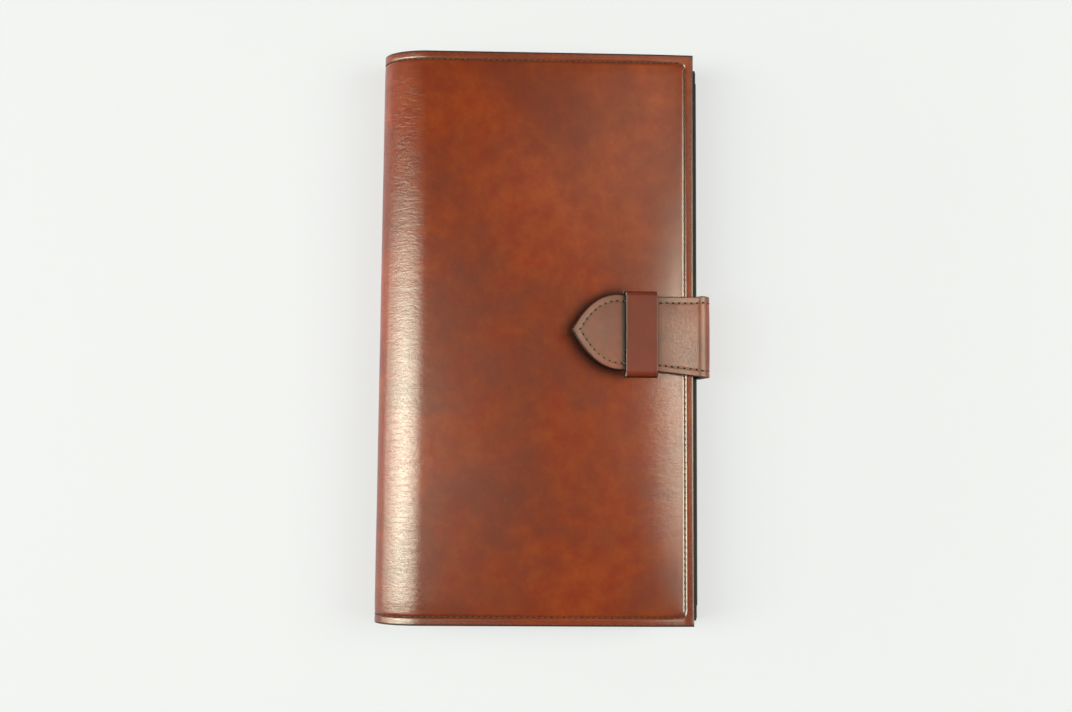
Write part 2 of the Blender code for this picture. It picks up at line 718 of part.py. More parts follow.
def main():
    clear_scene()
    add_collections()
    leather = principled("cover_leather", (0.26, 0.053, 0.021), 0.42)
    lining = principled("lining_leather", (0.012, 0.010, 0.010), 0.6)
    inner = principled("pocket_leather", (0.20, 0.045, 0.020), 0.5)
    thread = principled("stitch_thread", (0.16, 0.115, 0.08), 0.75)
    metal = principled("zip_metal", (0.62, 0.47, 0.24), 0.3, 1.0)
    tape = principled("zip_tape", (0.015, 0.013, 0.012), 0.85)

    fold_x, fold_z = cover_fold()
    fold_back = joint_empty("spine_fold_back", fold_x, fold_z)
    fold_front = joint_empty("spine_fold_front", fold_x, HEIGHT - fold_z)
    strap_lower = joint_empty("strap_fold_lower", 55.95, 0.5)
    strap_upper = joint_empty("strap_fold_upper", 55.59, 21.74)
    slide = joint_empty("zip_slide", PULL_X, ZIP_Z, SLIDER_Y)

    make_back_cover(leather, lining, thread)
    make_bill_panel_back(lining)
    make_pouch(lining, inner)
    make_zip(metal, tape)
    make_slider(metal, slide)
    make_pull(metal, slide)
    make_spine(leather, lining, thread, fold_back)
    make_front_cover(leather, lining, thread, fold_front)
    make_keeper(leather, fold_front)
    make_front_pockets(lining, inner, thread, fold_front)
    make_strap_root(leather, thread)
    make_wrap(leather, lining, thread, strap_lower)
    make_tongue(leather, lining, thread, strap_upper)
    bpy.context.view_layer.update()


main()
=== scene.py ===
# %% [markdown]
# # A long leather wallet, closed with a strap
#
# The wallet lies on its back cover. One sheet of leather runs from the back cover round the spine
# to the front cover. A strap comes from the back cover, round the open edge, and its pointed end
# is tucked under a plain leather keeper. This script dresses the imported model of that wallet: it
# keeps every size and place, and makes the leather, the thread and the zip that a hand would feel.
#
# We work in millimetres, because leather is cut in millimetres, and turn to metres only when a
# mesh is made. We start by loading the frame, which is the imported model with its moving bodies.

# %% Load the frame
import json
import math

import bmesh
import bpy
import numpy as np
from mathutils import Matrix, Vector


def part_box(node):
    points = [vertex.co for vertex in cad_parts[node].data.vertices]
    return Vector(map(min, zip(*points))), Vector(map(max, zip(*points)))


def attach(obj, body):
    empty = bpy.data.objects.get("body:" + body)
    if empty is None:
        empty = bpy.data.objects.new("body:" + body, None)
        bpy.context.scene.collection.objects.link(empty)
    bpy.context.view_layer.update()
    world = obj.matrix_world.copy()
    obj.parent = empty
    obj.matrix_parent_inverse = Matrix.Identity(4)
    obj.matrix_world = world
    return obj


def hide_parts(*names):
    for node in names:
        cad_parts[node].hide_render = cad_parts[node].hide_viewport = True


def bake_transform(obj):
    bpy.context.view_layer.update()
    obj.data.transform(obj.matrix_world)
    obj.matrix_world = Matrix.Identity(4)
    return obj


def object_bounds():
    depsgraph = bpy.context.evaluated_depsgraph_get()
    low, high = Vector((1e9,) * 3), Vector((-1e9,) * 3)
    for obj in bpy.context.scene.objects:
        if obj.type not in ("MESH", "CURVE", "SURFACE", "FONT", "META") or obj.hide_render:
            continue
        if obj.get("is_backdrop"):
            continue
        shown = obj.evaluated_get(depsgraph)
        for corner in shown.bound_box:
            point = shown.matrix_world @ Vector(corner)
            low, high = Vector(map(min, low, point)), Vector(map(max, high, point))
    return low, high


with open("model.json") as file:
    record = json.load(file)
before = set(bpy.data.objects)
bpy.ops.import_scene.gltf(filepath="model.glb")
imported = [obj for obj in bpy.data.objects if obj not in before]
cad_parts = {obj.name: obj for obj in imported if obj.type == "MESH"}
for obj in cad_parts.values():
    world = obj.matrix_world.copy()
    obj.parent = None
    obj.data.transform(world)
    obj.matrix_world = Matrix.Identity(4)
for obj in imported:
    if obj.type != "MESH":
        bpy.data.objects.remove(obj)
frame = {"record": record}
cad_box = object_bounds()
MM = 0.001
SLOTS = [row["slot"] for row in frame["record"]["materials"]]
print("material slots:", SLOTS)


# %% [markdown]
# ## The sizes that the frame gives
#
# Each size is read from the frame's own pieces, so that the looks can never drift from the
# model.

# %% Read sizes from the frame
def limits(node):
    """Lowest and highest corner of a node, in millimetres."""
    low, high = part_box(node)
    return np.array(low) / MM, np.array(high) / MM


FRONT_EDGE, HALF_LENGTH, HEIGHT = limits("outer_front")[1]
BACK_EDGE = limits("outer_back")[1][0]
SPINE_X = limits("outer_spine")[0][0]
BEND_REACH = 16.0
BEND_RISE = HEIGHT / 2
BEND_X = SPINE_X + BEND_REACH
LEATHER = 1.8
STITCH_INSET = 3.0
STITCH_CORNER = 2.0
print(f"closed height {HEIGHT:.1f}, front edge {FRONT_EDGE:.2f}, back edge {BACK_EDGE:.2f}")

# %% [markdown]
# ## The camera, the floor and the light
#
# A wallet is usually pictured from straight above. The camera stands about 40 cm over it, a
# little towards the foot, and tilts a few degrees. The lens is short enough to show the spine
# and the open edge lean away from the middle.

# %% Camera
camera_data = bpy.data.cameras.new("camera")
camera_data.sensor_width = 36.0
camera_data.lens = 40.3
camera = bpy.data.objects.new("camera", camera_data)
bpy.context.scene.collection.objects.link(camera)
camera.location = (-0.01405, -0.0432, 0.4226)
camera.rotation_euler = [math.radians(a) for a in (5.02, -1.64, 0.49)]
bpy.context.scene.camera = camera
print("camera height:", round(camera.location.z / MM), "mm")

# %% [markdown]
# Soft lamps stand round the wallet, as in a small light tent. What a glossy bend shows is the
# shape of its lamp, so the left side has five of different sizes: a small one for the bright heart
# of the reflection on the spine, larger ones that let it fade towards the head, and low ones for
# its skirt. A sixth, near the table, lights the spine's flank and is hidden from reflections. The
# right lamps graze the open edge and throw the strap's short shadow to the left.


# %% Lamps
def area_lamp(name, place, target, size, power, colour):
    """A soft rectangular lamp that faces a point. All lengths are in millimetres."""
    data = bpy.data.lights.new(name, "AREA")
    data.shape = "RECTANGLE"
    data.size = size[0] * MM
    data.size_y = size[1] * MM
    data.energy = power
    data.color = colour
    lamp = bpy.data.objects.new(name, data)
    bpy.context.scene.collection.objects.link(lamp)
    where = np.array(place, float) * MM
    lamp.location = where
    direction = Vector(np.array(target, float) * MM - where)
    lamp.rotation_euler = direction.to_track_quat("-Z", "Y").to_euler()
    return lamp


DAYLIGHT = (0.95, 1.0, 0.80)
WARM_LIGHT = (1.0, 0.8, 0.58)
LAMP_REACH = 1250
SPINE_AIM = -50
# Name, lean from upright in degrees, middle along Y, size round the arc, size along Y, power.
LEFT_LAMPS = (("left_core", 42, -75, 420, 360, 1.3),
              ("left_middle", 45, -60, 900, 400, 4.0),
              ("left_wide", 48, -30, 1900, 560, 11.8),
              ("left_inner", 30, -60, 560, 400, 1.8),
              ("left_skirt", 17, -40, 560, 400, 0.9))
for name, lean, middle, round_arc, along, power in LEFT_LAMPS:
    away = (SPINE_AIM - LAMP_REACH * math.sin(math.radians(lean)), middle,
            LAMP_REACH * math.cos(math.radians(lean)))
    area_lamp(name, away, (SPINE_AIM, middle, 10), (along, round_arc), power, DAYLIGHT)
bounce = area_lamp("left_bounce", (-1290, 0, 120), (-60, 0, 10), (1200, 300), 15.0, DAYLIGHT)
bounce.visible_glossy = False
area_lamp("right_lamp", (949, 25, 846), (20, 0, 10), (720, 720), 14.0, DAYLIGHT)
area_lamp("right_inner", (435, 40, 1130), (40, 40, 10), (300, 220), 1.3, DAYLIGHT)
area_lamp("top_lamp", (225, 390, 1150), (0, 0, 0), (330, 340), 0.25, WARM_LIGHT)
print("lamps:", len(LEFT_LAMPS) + 4)

# %% [markdown]
# The tent's walls are bright near the table and the opening above, where the camera looks in,
# is dark. A world that changes with the height of the view direction does the same. The dark
# opening is what keeps a glossy brown leather deep in colour when it is seen from above.

# %% The tent
world = bpy.data.worlds.new("tent")
bpy.context.scene.world = world
world.use_nodes = True
sky_nodes = world.node_tree.nodes
direction = sky_nodes.new("ShaderNodeTexCoord")
parts = sky_nodes.new("ShaderNodeSeparateXYZ")
walls = sky_nodes.new("ShaderNodeMapRange")
walls.interpolation_type = "SMOOTHSTEP"
for socket, number in (("From Min", 0.35), ("From Max", 0.75), ("To Min", 0.2), ("To Max", 0.03)):
    walls.inputs[socket].default_value = number
world.node_tree.links.new(direction.outputs["Generated"], parts.inputs[0])
world.node_tree.links.new(parts.outputs["Z"], walls.inputs["Value"])
world.node_tree.links.new(walls.outputs["Result"], sky_nodes["Background"].inputs["Strength"])
sky_nodes["Background"].inputs["Color"].default_value = (0.95, 0.97, 0.95, 1.0)
bpy.context.scene.view_settings.view_transform = "Standard"
print("tent:", len(sky_nodes), "nodes")

# %% [markdown]
# The floor is white paper that is lit right through. It glows by a different share for each kind
# of ray: enough for the camera to see it nearly white, much more to throw light up on to the
# wallet's sides, and little in reflections, where it would grey the dark leather.

# %% Floor
bpy.ops.mesh.primitive_plane_add(size=4.0, location=(0, 0, -0.0001))
floor = bpy.context.object
floor.name = "floor"
floor_material = bpy.data.materials.new("floor_paper")
floor_material.use_nodes = True
floor_nodes = floor_material.node_tree.nodes
floor_links = floor_material.node_tree.links
floor_shader = floor_nodes["Principled BSDF"]
for socket, value in (("Base Color", (0.23, 0.23, 0.27, 1.0)), ("Roughness", 0.8),
                      ("Specular IOR Level", 0.1), ("Emission Color", (1.0, 1.0, 0.985, 1.0))):
    floor_shader.inputs[socket].default_value = value
ray = floor_nodes.new("ShaderNodeLightPath")
glow = 0.0
for kind, share in (("Is Camera Ray", 0.56), ("Is Diffuse Ray", 4.5), ("Is Glossy Ray", 0.25)):
    part = floor_nodes.new("ShaderNodeMath")
    part.operation = "MULTIPLY_ADD"
    part.inputs[1].default_value = share
    part.inputs[2].default_value = 0.0
    floor_links.new(ray.outputs[kind], part.inputs[0])
    if glow:
        floor_links.new(glow, part.inputs[2])
    glow = part.outputs[0]
floor_links.new(glow, floor_shader.inputs["Emission Strength"])
floor.data.materials.append(floor_material)
floor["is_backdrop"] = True
print("camera, lamps and a pale floor are ready")

# %% [markdown]
# ## Node groups: effects that several materials share
#
# Leather looks like leather because of several thin effects on top of each other. Each one is a
# node group, built once, with named inputs. A few small helpers make a group with its sockets
# and the nodes that are needed again and again.


# %% Helpers for nodes
def new_group(name, inputs, outputs):
    """A shader node group with named float, vector or colour sockets."""
    group = bpy.data.node_groups.new(name, "ShaderNodeTree")
    for socket, kind, value in inputs:
        made = group.interface.new_socket(socket, in_out="INPUT", socket_type=kind)
        if value is not None:
            made.default_value = value
    for socket, kind in outputs:
        group.interface.new_socket(socket, in_out="OUTPUT", socket_type=kind)
    start = group.nodes.new("NodeGroupInput")
    end = group.nodes.new("NodeGroupOutput")
    return group, start, end


FLOAT = "NodeSocketFloat"
VECTOR = "NodeSocketVector"


def feed(tree, socket, value):
    """Put a plain value on a socket, or link another node's output to it."""
    if isinstance(value, (int, float, tuple)):
        socket.default_value = value
    else:
        tree.links.new(value, socket)


def math_node(tree, operation, first, second, clamp=False):
    """A Math node; each side is a number or a socket."""
    node = tree.nodes.new("ShaderNodeMath")
    node.operation = operation
    node.use_clamp = clamp
    feed(tree, node.inputs[0], first)
    feed(tree, node.inputs[1], second)
    return node.outputs[0]


def times(tree, first, second, clamp=False):
    """One value times another."""
    return math_node(tree, "MULTIPLY", first, second, clamp)


def plus(tree, first, second, clamp=False):
    """One value plus another."""
    return math_node(tree, "ADD", first, second, clamp)


def map_range(tree, value, low, high, to_low=0.0, to_high=1.0):
    """A smooth step from one range to another."""
    node = tree.nodes.new("ShaderNodeMapRange")
    node.interpolation_type = "SMOOTHSTEP"
    tree.links.new(value, node.inputs["Value"])
    for socket, number in zip(("From Min", "From Max", "To Min", "To Max"),
                              (low, high, to_low, to_high)):
        node.inputs[socket].default_value = number
    return node.outputs["Result"]


def noise(tree, vector, scale, detail=3.0, roughness=0.55, distortion=0.0):
    """A noise texture's value. The scale is a number or a socket."""
    node = tree.nodes.new("ShaderNodeTexNoise")
    for socket, value in (("Vector", vector), ("Scale", scale), ("Detail", detail),
                          ("Roughness", roughness), ("Distortion", distortion)):
        feed(tree, node.inputs[socket], value)
    return node.outputs["Fac"]


def stretch(tree, vector, factors):
    """The vector with each axis scaled."""
    node = tree.nodes.new("ShaderNodeVectorMath")
    node.operation = "MULTIPLY"
    feed(tree, node.inputs[0], vector)
    feed(tree, node.inputs[1], factors)
    return node.outputs[0]


# %% [markdown]
# **Hide mottle.** Dye soaks into a hide unevenly: large soft clouds, and within them small
# flecks. The group mixes a slow noise with a finer one and gives a mask from 0 to 1. A second
# slow noise gives the hue, by which the dye runs from its common tone to a redder one.

# %% Hide mottle
mottle_group, start, end = new_group(
    "hide_mottle",
    [("Vector", VECTOR, None), ("Cloud Scale", FLOAT, 34.0), ("Fleck Scale", FLOAT, 620.0),
     ("Fleck Share", FLOAT, 0.35)],
    [("Mask", FLOAT), ("Hue", FLOAT)])
tree = mottle_group
vector = start.outputs["Vector"]
clouds = noise(tree, vector, start.outputs["Cloud Scale"], 5.0, 0.62, 0.3)
flecks = noise(tree, stretch(tree, vector, (1.0, 0.7, 1.0)), start.outputs["Fleck Scale"], 4.0,
               0.72)
fleck_part = times(tree, math_node(tree, "SUBTRACT", flecks, 0.5), start.outputs["Fleck Share"])
mixed = plus(tree, map_range(tree, clouds, 0.25, 0.75), fleck_part, True)
tree.links.new(mixed, end.inputs["Mask"])
hue = noise(tree, stretch(tree, vector, (1.0, 1.0, 0.3)),
            times(tree, start.outputs["Cloud Scale"], 4.6), 4.0, 0.65)
tree.links.new(map_range(tree, hue, 0.3, 0.7), end.inputs["Hue"])
print("hide_mottle:", len(tree.nodes), "nodes")

# %% [markdown]
# **Hide grain.** The glazed surface still shows pores and a net of fine creases. Round the spine
# the creases lie across the bend. The height is in millimetres, ready for a Bump node.

# %% Hide grain
grain_group, start, end = new_group(
    "hide_grain",
    [("Vector", VECTOR, None), ("Pore Scale", FLOAT, 2600.0), ("Pebble Scale", FLOAT, 900.0),
     ("Crease Scale", FLOAT, 640.0), ("Crease", FLOAT, 0.0), ("Pebble", FLOAT, 1.0)],
    [("Height", FLOAT), ("Pores", FLOAT)])
PORE_DEPTH, PEBBLE_DEPTH, WAVE_DEPTH, CREASE_DEPTH = 0.024, 0.014, 0.05, 0.045
tree = grain_group
vector = start.outputs["Vector"]
pores = noise(tree, vector, start.outputs["Pore Scale"], 3.0, 0.65)
cells = tree.nodes.new("ShaderNodeTexVoronoi")
cells.feature = "SMOOTH_F1"
cells.inputs["Smoothness"].default_value = 0.7
tree.links.new(vector, cells.inputs["Vector"])
tree.links.new(start.outputs["Pebble Scale"], cells.inputs["Scale"])
across_bend = stretch(tree, vector, (0.34, 1.0, 0.34))
creases = noise(tree, across_bend, start.outputs["Crease Scale"], 4.0, 0.6, 1.2)
creases = map_range(tree, creases, 0.34, 0.66)
waves = noise(tree, vector, 110.0, 2.0, 0.5)
fine = plus(tree, times(tree, pores, PORE_DEPTH), times(tree, cells.outputs["Distance"],
                                                        PEBBLE_DEPTH))
height = times(tree, fine, start.outputs["Pebble"])
height = plus(tree, height, times(tree, waves, WAVE_DEPTH))
height = plus(tree, height,
              times(tree, times(tree, creases, start.outputs["Crease"]), CREASE_DEPTH))
tree.links.new(height, end.inputs["Height"])
tree.links.new(map_range(tree, pores, 0.44, 0.60), end.inputs["Pores"])
print("hide_grain:", len(tree.nodes), "nodes")

# %% [markdown]
# **Edge wear.** Along cut edges and stitch grooves the glaze is rubbed or filled with wax. Each
# leather mesh carries an attribute `rim`, 1 at its cut edge and 0 a little way in, and `groove`,
# 1 in the bottom of a stitch groove. The group breaks both up with noise, so that no line is
# ruled.

# %% Edge wear
wear_group, start, end = new_group(
    "edge_wear",
    [("Vector", VECTOR, None), ("Rim", FLOAT, 0.0), ("Groove", FLOAT, 0.0),
     ("Scale", FLOAT, 500.0), ("Rim Amount", FLOAT, 1.0), ("Groove Amount", FLOAT, 1.0)],
    [("Mask", FLOAT)])
tree = wear_group
broken = noise(tree, start.outputs["Vector"], start.outputs["Scale"], 3.0, 0.6)
broken = map_range(tree, broken, 0.3, 0.7, 0.55, 1.0)
rim = times(tree, start.outputs["Rim"], start.outputs["Rim Amount"])
groove = times(tree, start.outputs["Groove"], start.outputs["Groove Amount"])
worn = times(tree, math_node(tree, "MAXIMUM", rim, groove), broken, True)
tree.links.new(worn, end.inputs["Mask"])
print("edge_wear:", len(tree.nodes), "nodes")

# %% [markdown]
# **Scuffs.** A used wallet has hair-thin scratches in a few directions. A noise that is squeezed
# twenty-six times along one axis gives long thin streaks, and only their crests are kept, in the
# few places that a second, slower noise allows.

# %% Scuffs
scuff_group, start, end = new_group(
    "scuffs",
    [("Vector", VECTOR, None), ("Scale", FLOAT, 60.0), ("Amount", FLOAT, 0.5)],
    [("Mask", FLOAT)])
tree = scuff_group
parts = []
for angle, seed in ((0.5, 0.0), (2.1, 3.7)):
    turned = tree.nodes.new("ShaderNodeMapping")
    turned.inputs["Rotation"].default_value = (0.0, 0.0, angle)
    turned.inputs["Location"].default_value = (seed, seed, 0.0)
    tree.links.new(start.outputs["Vector"], turned.inputs["Vector"])
    streaks = noise(tree, stretch(tree, turned.outputs["Vector"], (1.0, 26.0, 1.0)),
                    start.outputs["Scale"], 2.0, 0.5)
    places = noise(tree, turned.outputs["Vector"], 45.0, 2.0)
    line = map_range(tree, streaks, 0.70, 0.76)
    parts.append(times(tree, line, map_range(tree, places, 0.5, 0.65)))
scuffed = times(tree, math_node(tree, "MAXIMUM", *parts), start.outputs["Amount"], True)
tree.links.new(scuffed, end.inputs["Mask"])
print("scuffs:", len(tree.nodes), "nodes")

# %% [markdown]
# ## Materials
#
# Every leather is one Principled BSDF. Its colour runs between the dye's deep tone, its common
# tone, a redder one and the pale tone of scratches. It turns dark in worn places, and where a cast
# shadow is painted on. Roughness and normal come from the grain. A glazed leather also has a clear
# coat, which is open at the pores.
# Two more attributes of the mesh take part: `bend`, 1 where the leather is bent and creased, and
# a painted-shadow attribute, 1 where a cast shadow is painted dark into the colour: round the
# raised tongue on the cover, and beside the keeper on the strap.


# %% Helpers for materials
def srgb(red, green, blue):
    """A colour from eight-bit values to the linear numbers that shaders use."""
    parts = [c / 255 for c in (red, green, blue)]
    linear = [p / 12.92 if p <= 0.04045 else ((p + 0.055) / 1.055) ** 2.4 for p in parts]
    return tuple(linear) + (1.0,)


def start_material(name, roughness, metallic=0.0):
    """A new material, its node tree, its Principled shader and its object coordinates."""
    material = bpy.data.materials.new(name)
    material.use_nodes = True
    tree = material.node_tree
    shader = tree.nodes["Principled BSDF"]
    shader.inputs["Roughness"].default_value = roughness
    shader.inputs["Metallic"].default_value = metallic
    coordinates = tree.nodes.new("ShaderNodeTexCoord")
    return material, tree, shader, coordinates.outputs["Object"]


def use_group(tree, group, **values):
    """A group node; each value is a number or a socket, under the input's name."""
    node = tree.nodes.new("ShaderNodeGroup")
    node.node_tree = group
    for name, value in values.items():
        feed(tree, node.inputs[name.replace("_", " ")], value)
    return node


def attribute(tree, name):
    """The value of a mesh attribute, such as `rim`."""
    node = tree.nodes.new("ShaderNodeAttribute")
    node.attribute_name = name
    return node.outputs["Fac"]


def blend_colour(tree, factor, first, second):
    """Mix two colours, each a value or a socket, by a factor socket."""
    node = tree.nodes.new("ShaderNodeMix")
    node.data_type = "RGBA"
    for socket, value in ((0, factor), (6, first), (7, second)):
        feed(tree, node.inputs[socket], value)
    return node.outputs[2]


def bump(tree, shader, height, distance=1.0):
    """Feed a height in millimetres to the shader's normal."""
    node = tree.nodes.new("ShaderNodeBump")
    node.inputs["Strength"].default_value = 1.0
    node.inputs["Distance"].default_value = distance * MM
    tree.links.new(height, node.inputs["Height"])
    tree.links.new(node.outputs["Normal"], shader.inputs["Normal"])


def leather(name, deep, common, red, pale, roughness, crease=0.0, fleck=0.3, grain=1.0,
            scuff=0.4, coat=0.0, coat_roughness=0.25, dark_rim=0.75, specular=0.5,
            pore=0.3, coat_on_bend=False):
    """A dyed, glazed leather with mottling, grain, worn edges, scuffs and a painted cast shadow."""
    material, tree, shader, where = start_material(name, roughness)
    shader.inputs["Specular IOR Level"].default_value = specular
    bent, painted_shadow = attribute(tree, "bend"), attribute(tree, "painted_shadow")
    mottle = use_group(tree, mottle_group, Vector=where, Fleck_Share=fleck)
    grains = use_group(tree, grain_group, Vector=where, Crease=times(tree, bent, crease),
                       Pebble=plus(tree, times(tree, bent, 1.7), 0.3))
    wear = use_group(tree, wear_group, Vector=where, Rim=attribute(tree, "rim"),
                     Groove=attribute(tree, "groove"), Rim_Amount=dark_rim, Groove_Amount=0.35)
    scuffing = use_group(tree, scuff_group, Vector=where, Amount=scuff)
    colour = blend_colour(tree, mottle.outputs["Hue"], common, red)
    colour = blend_colour(tree, mottle.outputs["Mask"], deep, colour)
    colour = blend_colour(tree, scuffing.outputs["Mask"], colour, pale)
    # Worn edges, stitch grooves and the painted shadow all turn the colour towards this dark tone.
    dark = tuple(0.12 * c for c in deep[:3]) + (1.0,)
    wear_and_painted_shadow = math_node(tree, "MAXIMUM", wear.outputs["Mask"], painted_shadow)
    tree.links.new(blend_colour(tree, wear_and_painted_shadow, colour, dark), shader.inputs["Base Color"])

    pores = times(tree, grains.outputs["Pores"], pore)
    patchy = math_node(tree, "SUBTRACT", mottle.outputs["Mask"], 0.5)
    rough = plus(tree, roughness, times(tree, patchy, -0.06))
    rough = plus(tree, rough, times(tree, wear.outputs["Mask"], 0.25))
    rough = plus(tree, rough, times(tree, pores, 0.06))
    # Where a shadow is painted on, the leather is made smoother, so that it reflects less haze and
    # stays dark.
    rough = math_node(tree, "SUBTRACT", rough, times(tree, painted_shadow, 0.12), True)
    tree.links.new(rough, shader.inputs["Roughness"])
    if coat > 0:
        glazed = times(tree, math_node(tree, "SUBTRACT", 1.0, pores, True), coat)
        if coat_on_bend:
            glazed = times(tree, glazed, bent)
        tree.links.new(glazed, shader.inputs["Coat Weight"])
    shader.inputs["Coat Roughness"].default_value = coat_roughness
    bump(tree, shader, grains.outputs["Height"], grain)
    return material


# %% [markdown]
# The cover is a glazed red-brown hide. The strap is cut from the same hide but handled more, so
# it is greyer and duller, and keeps its glaze only where it bends. The keeper is the same hide
# without a glaze. The lining and the inner panels are black, and the pockets are thin red-brown
# leather.

# %% Leather materials
COVER = leather("cover_leather", srgb(96, 33, 9), srgb(135, 55, 14), srgb(123, 40, 11),
                srgb(135, 66, 38), 0.21, crease=0.95, fleck=0.75, grain=1.1, coat=1.0,
                coat_roughness=0.195, specular=0.9, pore=0.6)
STRAP = leather("strap_leather", srgb(91, 35, 14), srgb(128, 58, 25), srgb(119, 46, 20),
                srgb(129, 76, 50), 0.40, fleck=0.9, grain=1.6, dark_rim=0.25, specular=0.75,
                pore=0.8, coat=1.0, coat_roughness=0.2, coat_on_bend=True)
KEEPER = leather("keeper_leather", srgb(92, 28, 8), srgb(115, 40, 15), srgb(107, 31, 12),
                 srgb(120, 58, 31), 0.5, fleck=0.5, dark_rim=0.2)
LINING = leather("lining_leather", srgb(10, 7, 7), srgb(22, 18, 17), srgb(19, 15, 14),
                 srgb(44, 38, 35), 0.55, fleck=0.6, scuff=0.3, dark_rim=0.2)
POCKET = leather("pocket_leather", srgb(63, 25, 13), srgb(88, 38, 22), srgb(83, 32, 19),
                 srgb(115, 65, 44), 0.55, fleck=0.5, scuff=0.2, dark_rim=0.9)


# %% [markdown]
# The smaller finishes need only two tones and a texture between them, which also gives the
# height. Cut edges are painted dark and polished; the paint is a little uneven and hides the
# fibres. The keeper's edges are left raw. The cover's thread is waxed and grey-brown, and its two
# twisted strands show as fine slanted ridges, made by a Wave texture. The strap's thread is
# paler. Needle holes are almost black: painted shade, for the dark inside each hole.


# %% Edges, thread and needle holes
def two_tone(name, roughness, texture, dark, pale, height=0.0):
    """A finish whose colour runs between two tones with a texture, which may lift it too."""
    material, tree, shader, where = start_material(name, roughness)
    value = texture(tree, where)
    tree.links.new(blend_colour(tree, value, dark, pale), shader.inputs["Base Color"])
    if height > 0:
        bump(tree, shader, times(tree, value, height))
    return material


def waves_of(tree, where, direction, scale, distortion):
    """The value of a Wave texture in bands."""
    node = tree.nodes.new("ShaderNodeTexWave")
    node.wave_type = "BANDS"
    node.bands_direction = direction
    node.inputs["Scale"].default_value = scale
    node.inputs["Distortion"].default_value = distortion
    tree.links.new(where, node.inputs["Vector"])
    return node.outputs["Fac"]


EDGE = two_tone("edge_paint", 0.38, lambda tree, where: noise(tree, where, 700.0, 3.0, 0.6),
                srgb(26, 18, 16), srgb(58, 40, 34), 0.08)
RAW_EDGE = two_tone("raw_edge", 0.75, lambda tree, where: noise(tree, where, 1500.0, 3.0, 0.6),
                    srgb(90, 75, 69), srgb(136, 123, 115))
THREAD = two_tone("stitch_thread", 0.62,
                  lambda tree, where: waves_of(tree, where, "DIAGONAL", 900.0, 1.0),
                  srgb(45, 34, 28), srgb(100, 83, 69), 0.06)
PALE_THREAD = two_tone("pale_thread", 0.6,
                       lambda tree, where: noise(tree, where, 2600.0, 2.0, 0.6),
                       srgb(83, 66, 51), srgb(150, 131, 111), 0.04)
# Needle holes are dark lenses: painted shade for the dark inside each hole.
HOLE_SHADE = two_tone("needle_hole_shade", 0.8, lambda tree, where: noise(tree, where, 1800.0, 2.0, 0.5),
                srgb(20, 11, 8), srgb(46, 26, 18))
print("leather, edge paint and thread are ready")

# %% [markdown]
# The zip is brass on black woven tape. Brass keeps a plain metallic value; fine brushing and a
# slight tarnish vary its colour and roughness. The tape's weave is two crossed waves.

# %% Brass and woven tape
BRASS, tree, shader, where = start_material("zip_metal", 0.28, 1.0)
brushed = noise(tree, stretch(tree, where, (1.0, 0.1, 1.0)), 3000.0, 2.0, 0.6)
tarnish = noise(tree, where, 260.0, 3.0, 0.6)
tree.links.new(blend_colour(tree, map_range(tree, tarnish, 0.35, 0.7),
                            srgb(214, 178, 112), srgb(168, 128, 72)),
               shader.inputs["Base Color"])
tree.links.new(map_range(tree, brushed, 0.2, 0.8, 0.2, 0.42), shader.inputs["Roughness"])
bump(tree, shader, times(tree, brushed, 0.01))

TAPE = two_tone("zip_tape", 0.85,
                lambda tree, where: times(tree, *(waves_of(tree, where, way, 520.0, 0.3)
                                                  for way in ("X", "Y"))),
                srgb(18, 16, 16), srgb(52, 48, 46), 0.12)
print("brass and tape are ready")

# %% [markdown]
# ## How a leather sheet is made
#
# Every leather piece here is a sheet with a thickness. It is drawn flat first: `u` runs across
# the wallet along the leather, `v` along its length, and `edge` says how far each point is from
# the nearest cut edge. Then `place(u, v, depth)` bends the flat sheet into its shape, with the
# depth measured inwards from the good side. So a groove, a rounded edge or a needle hole is
# drawn once, on the flat, and follows the leather round every bend.


# %% The sheet builder
def to_object(name, points, faces, materials, face_materials=None):
    """A mesh object from points in millimetres."""
    mesh = bpy.data.meshes.new(name)
    points = np.asarray(points, float) * MM
    mesh.from_pydata(points.tolist(), [], faces)
    for material in materials:
        mesh.materials.append(material)
    if face_materials is not None:
        mesh.polygons.foreach_set("material_index", np.asarray(face_materials, np.int32))
    mesh.shade_smooth()
    mesh.validate()
    made = bpy.data.objects.new(name, mesh)
    bpy.context.scene.collection.objects.link(made)
    return made


def join(parts):
    """Several shapes as one list of points and one of faces."""
    points, faces, count = [], [], 0
    for part_points, part_faces in parts:
        points.append(part_points)
        faces += [tuple(i + count for i in face) for face in part_faces]
        count += len(part_points)
    return np.concatenate(points), faces


def write_attribute(piece, name, values):
    """Store one number for each point of the mesh."""
    data = piece.data.attributes.new(name, "FLOAT", "POINT")
    data.data.foreach_set("value", np.asarray(values, np.float32).ravel())


def round_over(edge, radius):
    """How deep a rounded edge lies, at a distance from the cut edge."""
    inside = np.clip(radius - edge, 0.0, radius)
    return radius - np.sqrt(np.maximum(radius ** 2 - inside ** 2, 0.0))


SEAM_WALL = 0.05


